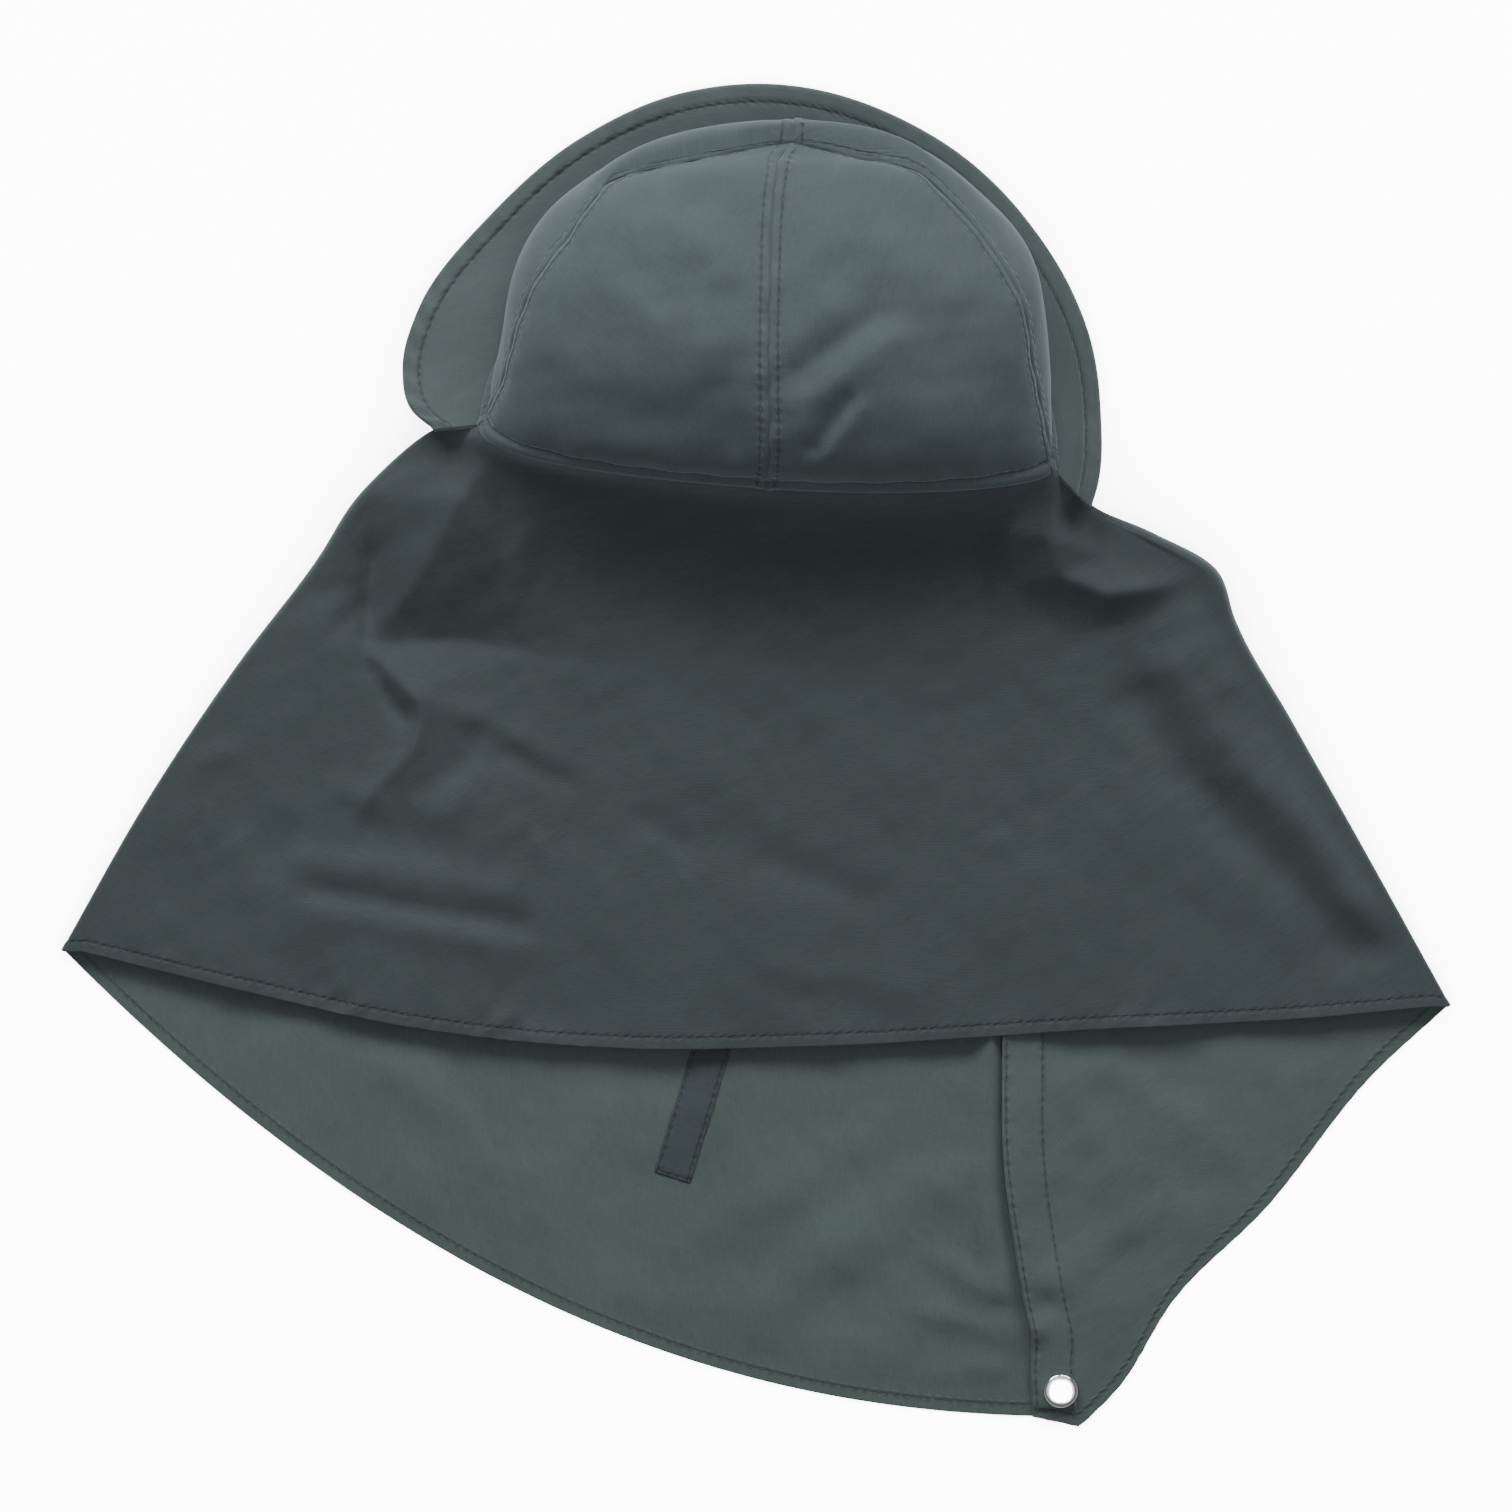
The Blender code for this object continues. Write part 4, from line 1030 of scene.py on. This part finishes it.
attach(cape_piece, "root")
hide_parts("cape")
cape_hem = line_inside("cape_cloth", "bottom", HEM_STITCH)
cape_hem_under = line_inside("cape_cloth", "bottom", HEM_STITCH, "inside")
left_end, right_end = CAPE_PARTS[0][0] + 6, columns - CAPE_PARTS[4][0] - 6
cape_stitches = stitches("cape_stitches", [cape_hem[left_end:right_end], cape_hem_under[4:left_end],
                                           cape_hem_under[right_end:-8]],
                         pitch=CAPE_STITCH_PITCH, length=CAPE_STITCH_LENGTH)

# Placket facing. A strip of the same cloth, turned in and stitched down along both long edges, on
# the inside of the right front piece. It stiffens the edge that carries the snap.
FACING_WIDTH = 0.018
FACING_INSET = 0.0006
FACING_TOP = 0.02
FACING_END = 0.985
FACING_CLOTH = 0.0006
FACING_RISE = 0.0007
FACING_STITCHES = [("left", 0.0016), ("right", 0.0013)]


def facing_surface(across, down):
    edge = placket_edge(FACING_TOP + down * (FACING_END - FACING_TOP))
    x = edge[:, 0] + FACING_INSET + across * FACING_WIDTH
    height = CAPE_LIFT + LAYER_GAP + FACING_CLOTH + FACING_RISE \
        + placket_lift(x - edge[:, 0], edge[:, 1])
    plan = np.column_stack([x, edge[:, 1]])
    return np.column_stack([plan, height + front_slack(plan)])


def facing_detail(edges, points):
    """Rounded edges, a groove below each row of stitches, and puckers along the front edge."""
    height = -0.0004 * mound(edges["left"], 0, 0.0006) - 0.0008 * mound(edges["right"], 0, 0.0006)
    for edge, inset in FACING_STITCHES:
        height -= 0.0003 * mound(edges[edge], inset, 0.0006)
    return height + 0.00018 * wave(edges["top"], 0.0088) * mound(edges["left"], 0, 0.004)


facing_finish = cloth_finish("facing_cloth", (0.073, 0.098, 0.093), (0.073, 0.098, 0.093),
                             FACING_STITCHES)
facing_piece = cloth_sheet("facing_cloth", facing_surface, steps(22, 0.5), steps(160), FACING_CLOTH,
                           facing_finish, facing_detail)
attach(facing_piece, "root")
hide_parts("placket_facing")
facing_stitches = stitches("facing_stitches", [line_inside("facing_cloth", edge, inset)
                                               for edge, inset in FACING_STITCHES],
                           pitch=CAPE_STITCH_PITCH, length=CAPE_STITCH_LENGTH)

# Tab. A short strap of the same cloth, doubled and stitched round its edges. It lies loose on the
# inside of the left front piece, its upper end hidden under the back.
TAB_WIDTH = 0.0165
TAB_LENGTH = 0.095
TAB_CLOTH = 0.0009
TAB_LEAN = math.radians(17)
TAB_X = -0.0356
TAB_RISE = 0.105
TAB_STITCHES = [("left", 0.0016), ("right", 0.0016), ("bottom", 0.0016)]
TAB_GAP = 0.0004
TAB_SLACK = ((0.0002, 0.02, 4),)


def tab_surface(across, down):
    along = np.array([math.sin(TAB_LEAN), math.cos(TAB_LEAN)])
    sideways = np.array([math.cos(TAB_LEAN), -math.sin(TAB_LEAN)])
    end = np.array([TAB_X, CORNER_Y + TAB_RISE])
    plan = end + np.outer((1 - down) * TAB_LENGTH, along) + np.outer((across - 0.5) * TAB_WIDTH, sideways)
    up = TAB_GAP + TAB_CLOTH + front_slack(plan) + waves(plan, TAB_SLACK)
    return np.column_stack([plan, up])


def tab_detail(edges, points):
    """Rounded edges and a groove below each row of stitches."""
    height = 0
    for edge, inset in TAB_STITCHES:
        height = height - 0.0005 * mound(edges[edge], 0, 0.0007)
        height = height - 0.00025 * mound(edges[edge], inset, 0.0005)
    return height


tab_finish = cloth_finish("tab_cloth", (0.046, 0.059, 0.063), (0.046, 0.059, 0.063), TAB_STITCHES)
tab_piece = cloth_sheet("tab_cloth", tab_surface, steps(26, 0.5), steps(80, 0.8), TAB_CLOTH,
                        tab_finish, tab_detail)
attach(tab_piece, "root")
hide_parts("tab_strap")
tab_stitches = stitches("tab_stitches", [line_inside("tab_cloth", edge, inset)[4:-4]
                                         for edge, inset in TAB_STITCHES],
                        pitch=0.0030, length=0.0022, thread=0.00036)

# Snap. One polished steel cap, turned here from its half section. It is pressed through the placket,
# with a plain post below it that keeps its CAD shape.
SNAP_RADIUS = 0.0072
SNAP_HEIGHT = 0.0022
SNAP_INSET = 0.0118
SNAP_UP = 0.0155
SNAP_SEAT = 0.0043
SNAP_SIDES = 72
SNAP_OUTLINE = [(0.00, 0.97), (0.30, 0.965), (0.60, 0.95), (0.78, 0.925), (0.88, 0.88), (0.94, 0.79),
                (0.98, 0.64), (1.00, 0.45), (1.00, 0.22), (0.985, 0.06), (0.95, 0.00), (0.55, 0.00),
                (0.00, 0.00)]


def turned(name, outline, centre, count):
    """Round piece turned from its half section, closed at both poles."""
    inner = outline[1:-1]
    points = [(0, 0, outline[0][1])] + [
        (out * math.cos(angle), out * math.sin(angle), up)
        for out, up in inner for angle in np.arange(count) * 2 * math.pi / count
    ] + [(0, 0, outline[-1][1])]
    last = len(points) - 1
    faces = [(0, 1 + i, 1 + (i + 1) % count) for i in range(count)]
    for row in range(len(inner) - 1):
        for i in range(count):
            a, b = 1 + row * count + i, 1 + row * count + (i + 1) % count
            faces.append((a, a + count, b + count, b))
    low = 1 + (len(inner) - 1) * count
    faces += [(last, low + (i + 1) % count, low + i) for i in range(count)]
    mesh = bpy.data.meshes.new(name)
    mesh.from_pydata((np.array(points) + centre).tolist(), [], faces)
    mesh.shade_smooth()
    piece = bpy.data.objects.new(name, mesh)
    bpy.context.scene.collection.objects.link(piece)
    return piece


def steel_finish():
    """Polished steel with fine marks of wear."""
    finish = Finish("snap_steel", 0.06, 1.0)
    place = finish.node("ShaderNodeTexCoord", {}, (), "Object")
    marks = finish.noise(finish.scaled(place, (900, 5200, 900)), 1.0, 2.0)
    finish.set("Base Color", finish.mix(marks, (0.92, 0.93, 0.92), (0.97, 0.97, 0.96)))
    finish.set("Roughness", 0.03 + marks * 0.07)
    finish.bump(marks, 0.2, 0.00004)
    return finish.material


steel = steel_finish()
snap_place = (PLACKET_X + PLACKET_SWAY + SNAP_INSET, CORNER_Y + SNAP_UP, SNAP_SEAT)
snap_piece = turned("snap_steel_cap", [(SNAP_RADIUS * out, SNAP_HEIGHT * up) for out, up in SNAP_OUTLINE],
                    snap_place, SNAP_SIDES)
snap_piece.data.materials.append(steel)
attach(snap_piece, "root")
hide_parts("snap_cap")
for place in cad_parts["snap_post"].material_slots:
    place.material = steel

# Table, light and camera. A white table that glows evenly to the camera, its glow dimmed near the cap as
# a
#  painted contact shadow, two broad soft lights from beyond the brim, two weaker ones overhead, and a
#  camera that looks straight down.
TABLE = 6.0
CAMERA_HEIGHT = 3.0
VIEW_HALF = 0.320
TABLE_GLOW = 12.0
TABLE_GAP = 0.0004
SHADOW_REACH = 0.05
SENSOR = 36
LAMPS = [
    ("key_light", (-0.9, 1.8, 1.45), (0, 0, 0), (1.6, 1.0), 46, (1.0, 1.0, 1.0)),
    ("side_light", (0.9, 1.85, 1.45), (0, 0, 0), (1.6, 1.0), 32, (1.0, 1.0, 1.0)),
    ("top_light", (0.0, 0.2, 3.6), (0, 0, 0), (2.6, 2.6), 16, (0.98, 0.99, 1.0)),
    ("snap_card", (0.27, -0.57, 3.3), (0.27, -0.57, 0), (0.7, 0.7), 19, (1.0, 1.0, 1.0)),
]

floor_mesh = bpy.data.meshes.new("table")
half = TABLE / 2
floor_mesh.from_pydata([(-half, -half, 0), (half, -half, 0), (half, half, 0), (-half, half, 0)], [],
                       [(0, 1, 2, 3)])
floor = bpy.data.objects.new("table", floor_mesh)
floor.location.z = -TABLE_GAP
bpy.context.scene.collection.objects.link(floor)
paper = Finish("table_paper", 0.9)
paper.set("Base Color", (0.86, 0.86, 0.86))
# Painted contact shadow: the table's glow to the camera is dimmed by ambient occlusion where the cap and
# its cloth lie near
near = paper.node("ShaderNodeAmbientOcclusion", {"samples": 12}, {"Distance": SHADOW_REACH}, "AO")
seen = paper.node("ShaderNodeLightPath", {}, (), "Is Camera Ray")
paper.set("Emission Color", paper.mix(near * seen, (0.0, 0.0, 0.0), (1.0, 1.0, 1.0)))
paper.set("Emission Strength", TABLE_GLOW)
floor_mesh.materials.append(paper.material)

for name, place, aim, sizes, power, colour in LAMPS:
    data = bpy.data.lights.new(name, "AREA")
    data.shape = "RECTANGLE"
    data.size, data.size_y = sizes
    data.energy = power
    data.color = colour
    light = bpy.data.objects.new(name, data)
    bpy.context.scene.collection.objects.link(light)
    way = np.array(aim, float) - place
    light.location = place
    flat = math.hypot(way[0], way[1])
    light.rotation_euler = (math.atan2(flat, -way[2]), 0, math.atan2(-way[0], way[1]))

world = bpy.data.worlds.new("studio")
world.use_nodes = True
world.node_tree.nodes["Background"].inputs["Color"].default_value = (0.95, 0.98, 1.0, 1)
world.node_tree.nodes["Background"].inputs["Strength"].default_value = 0.16
bpy.context.scene.world = world

camera_data = bpy.data.cameras.new("camera")
camera_data.sensor_width = SENSOR
camera_data.lens = SENSOR / 2 * CAMERA_HEIGHT / VIEW_HALF
camera = bpy.data.objects.new("camera", camera_data)
camera.location = (0, 0, CAMERA_HEIGHT)
bpy.context.scene.collection.objects.link(camera)
bpy.context.scene.camera = camera
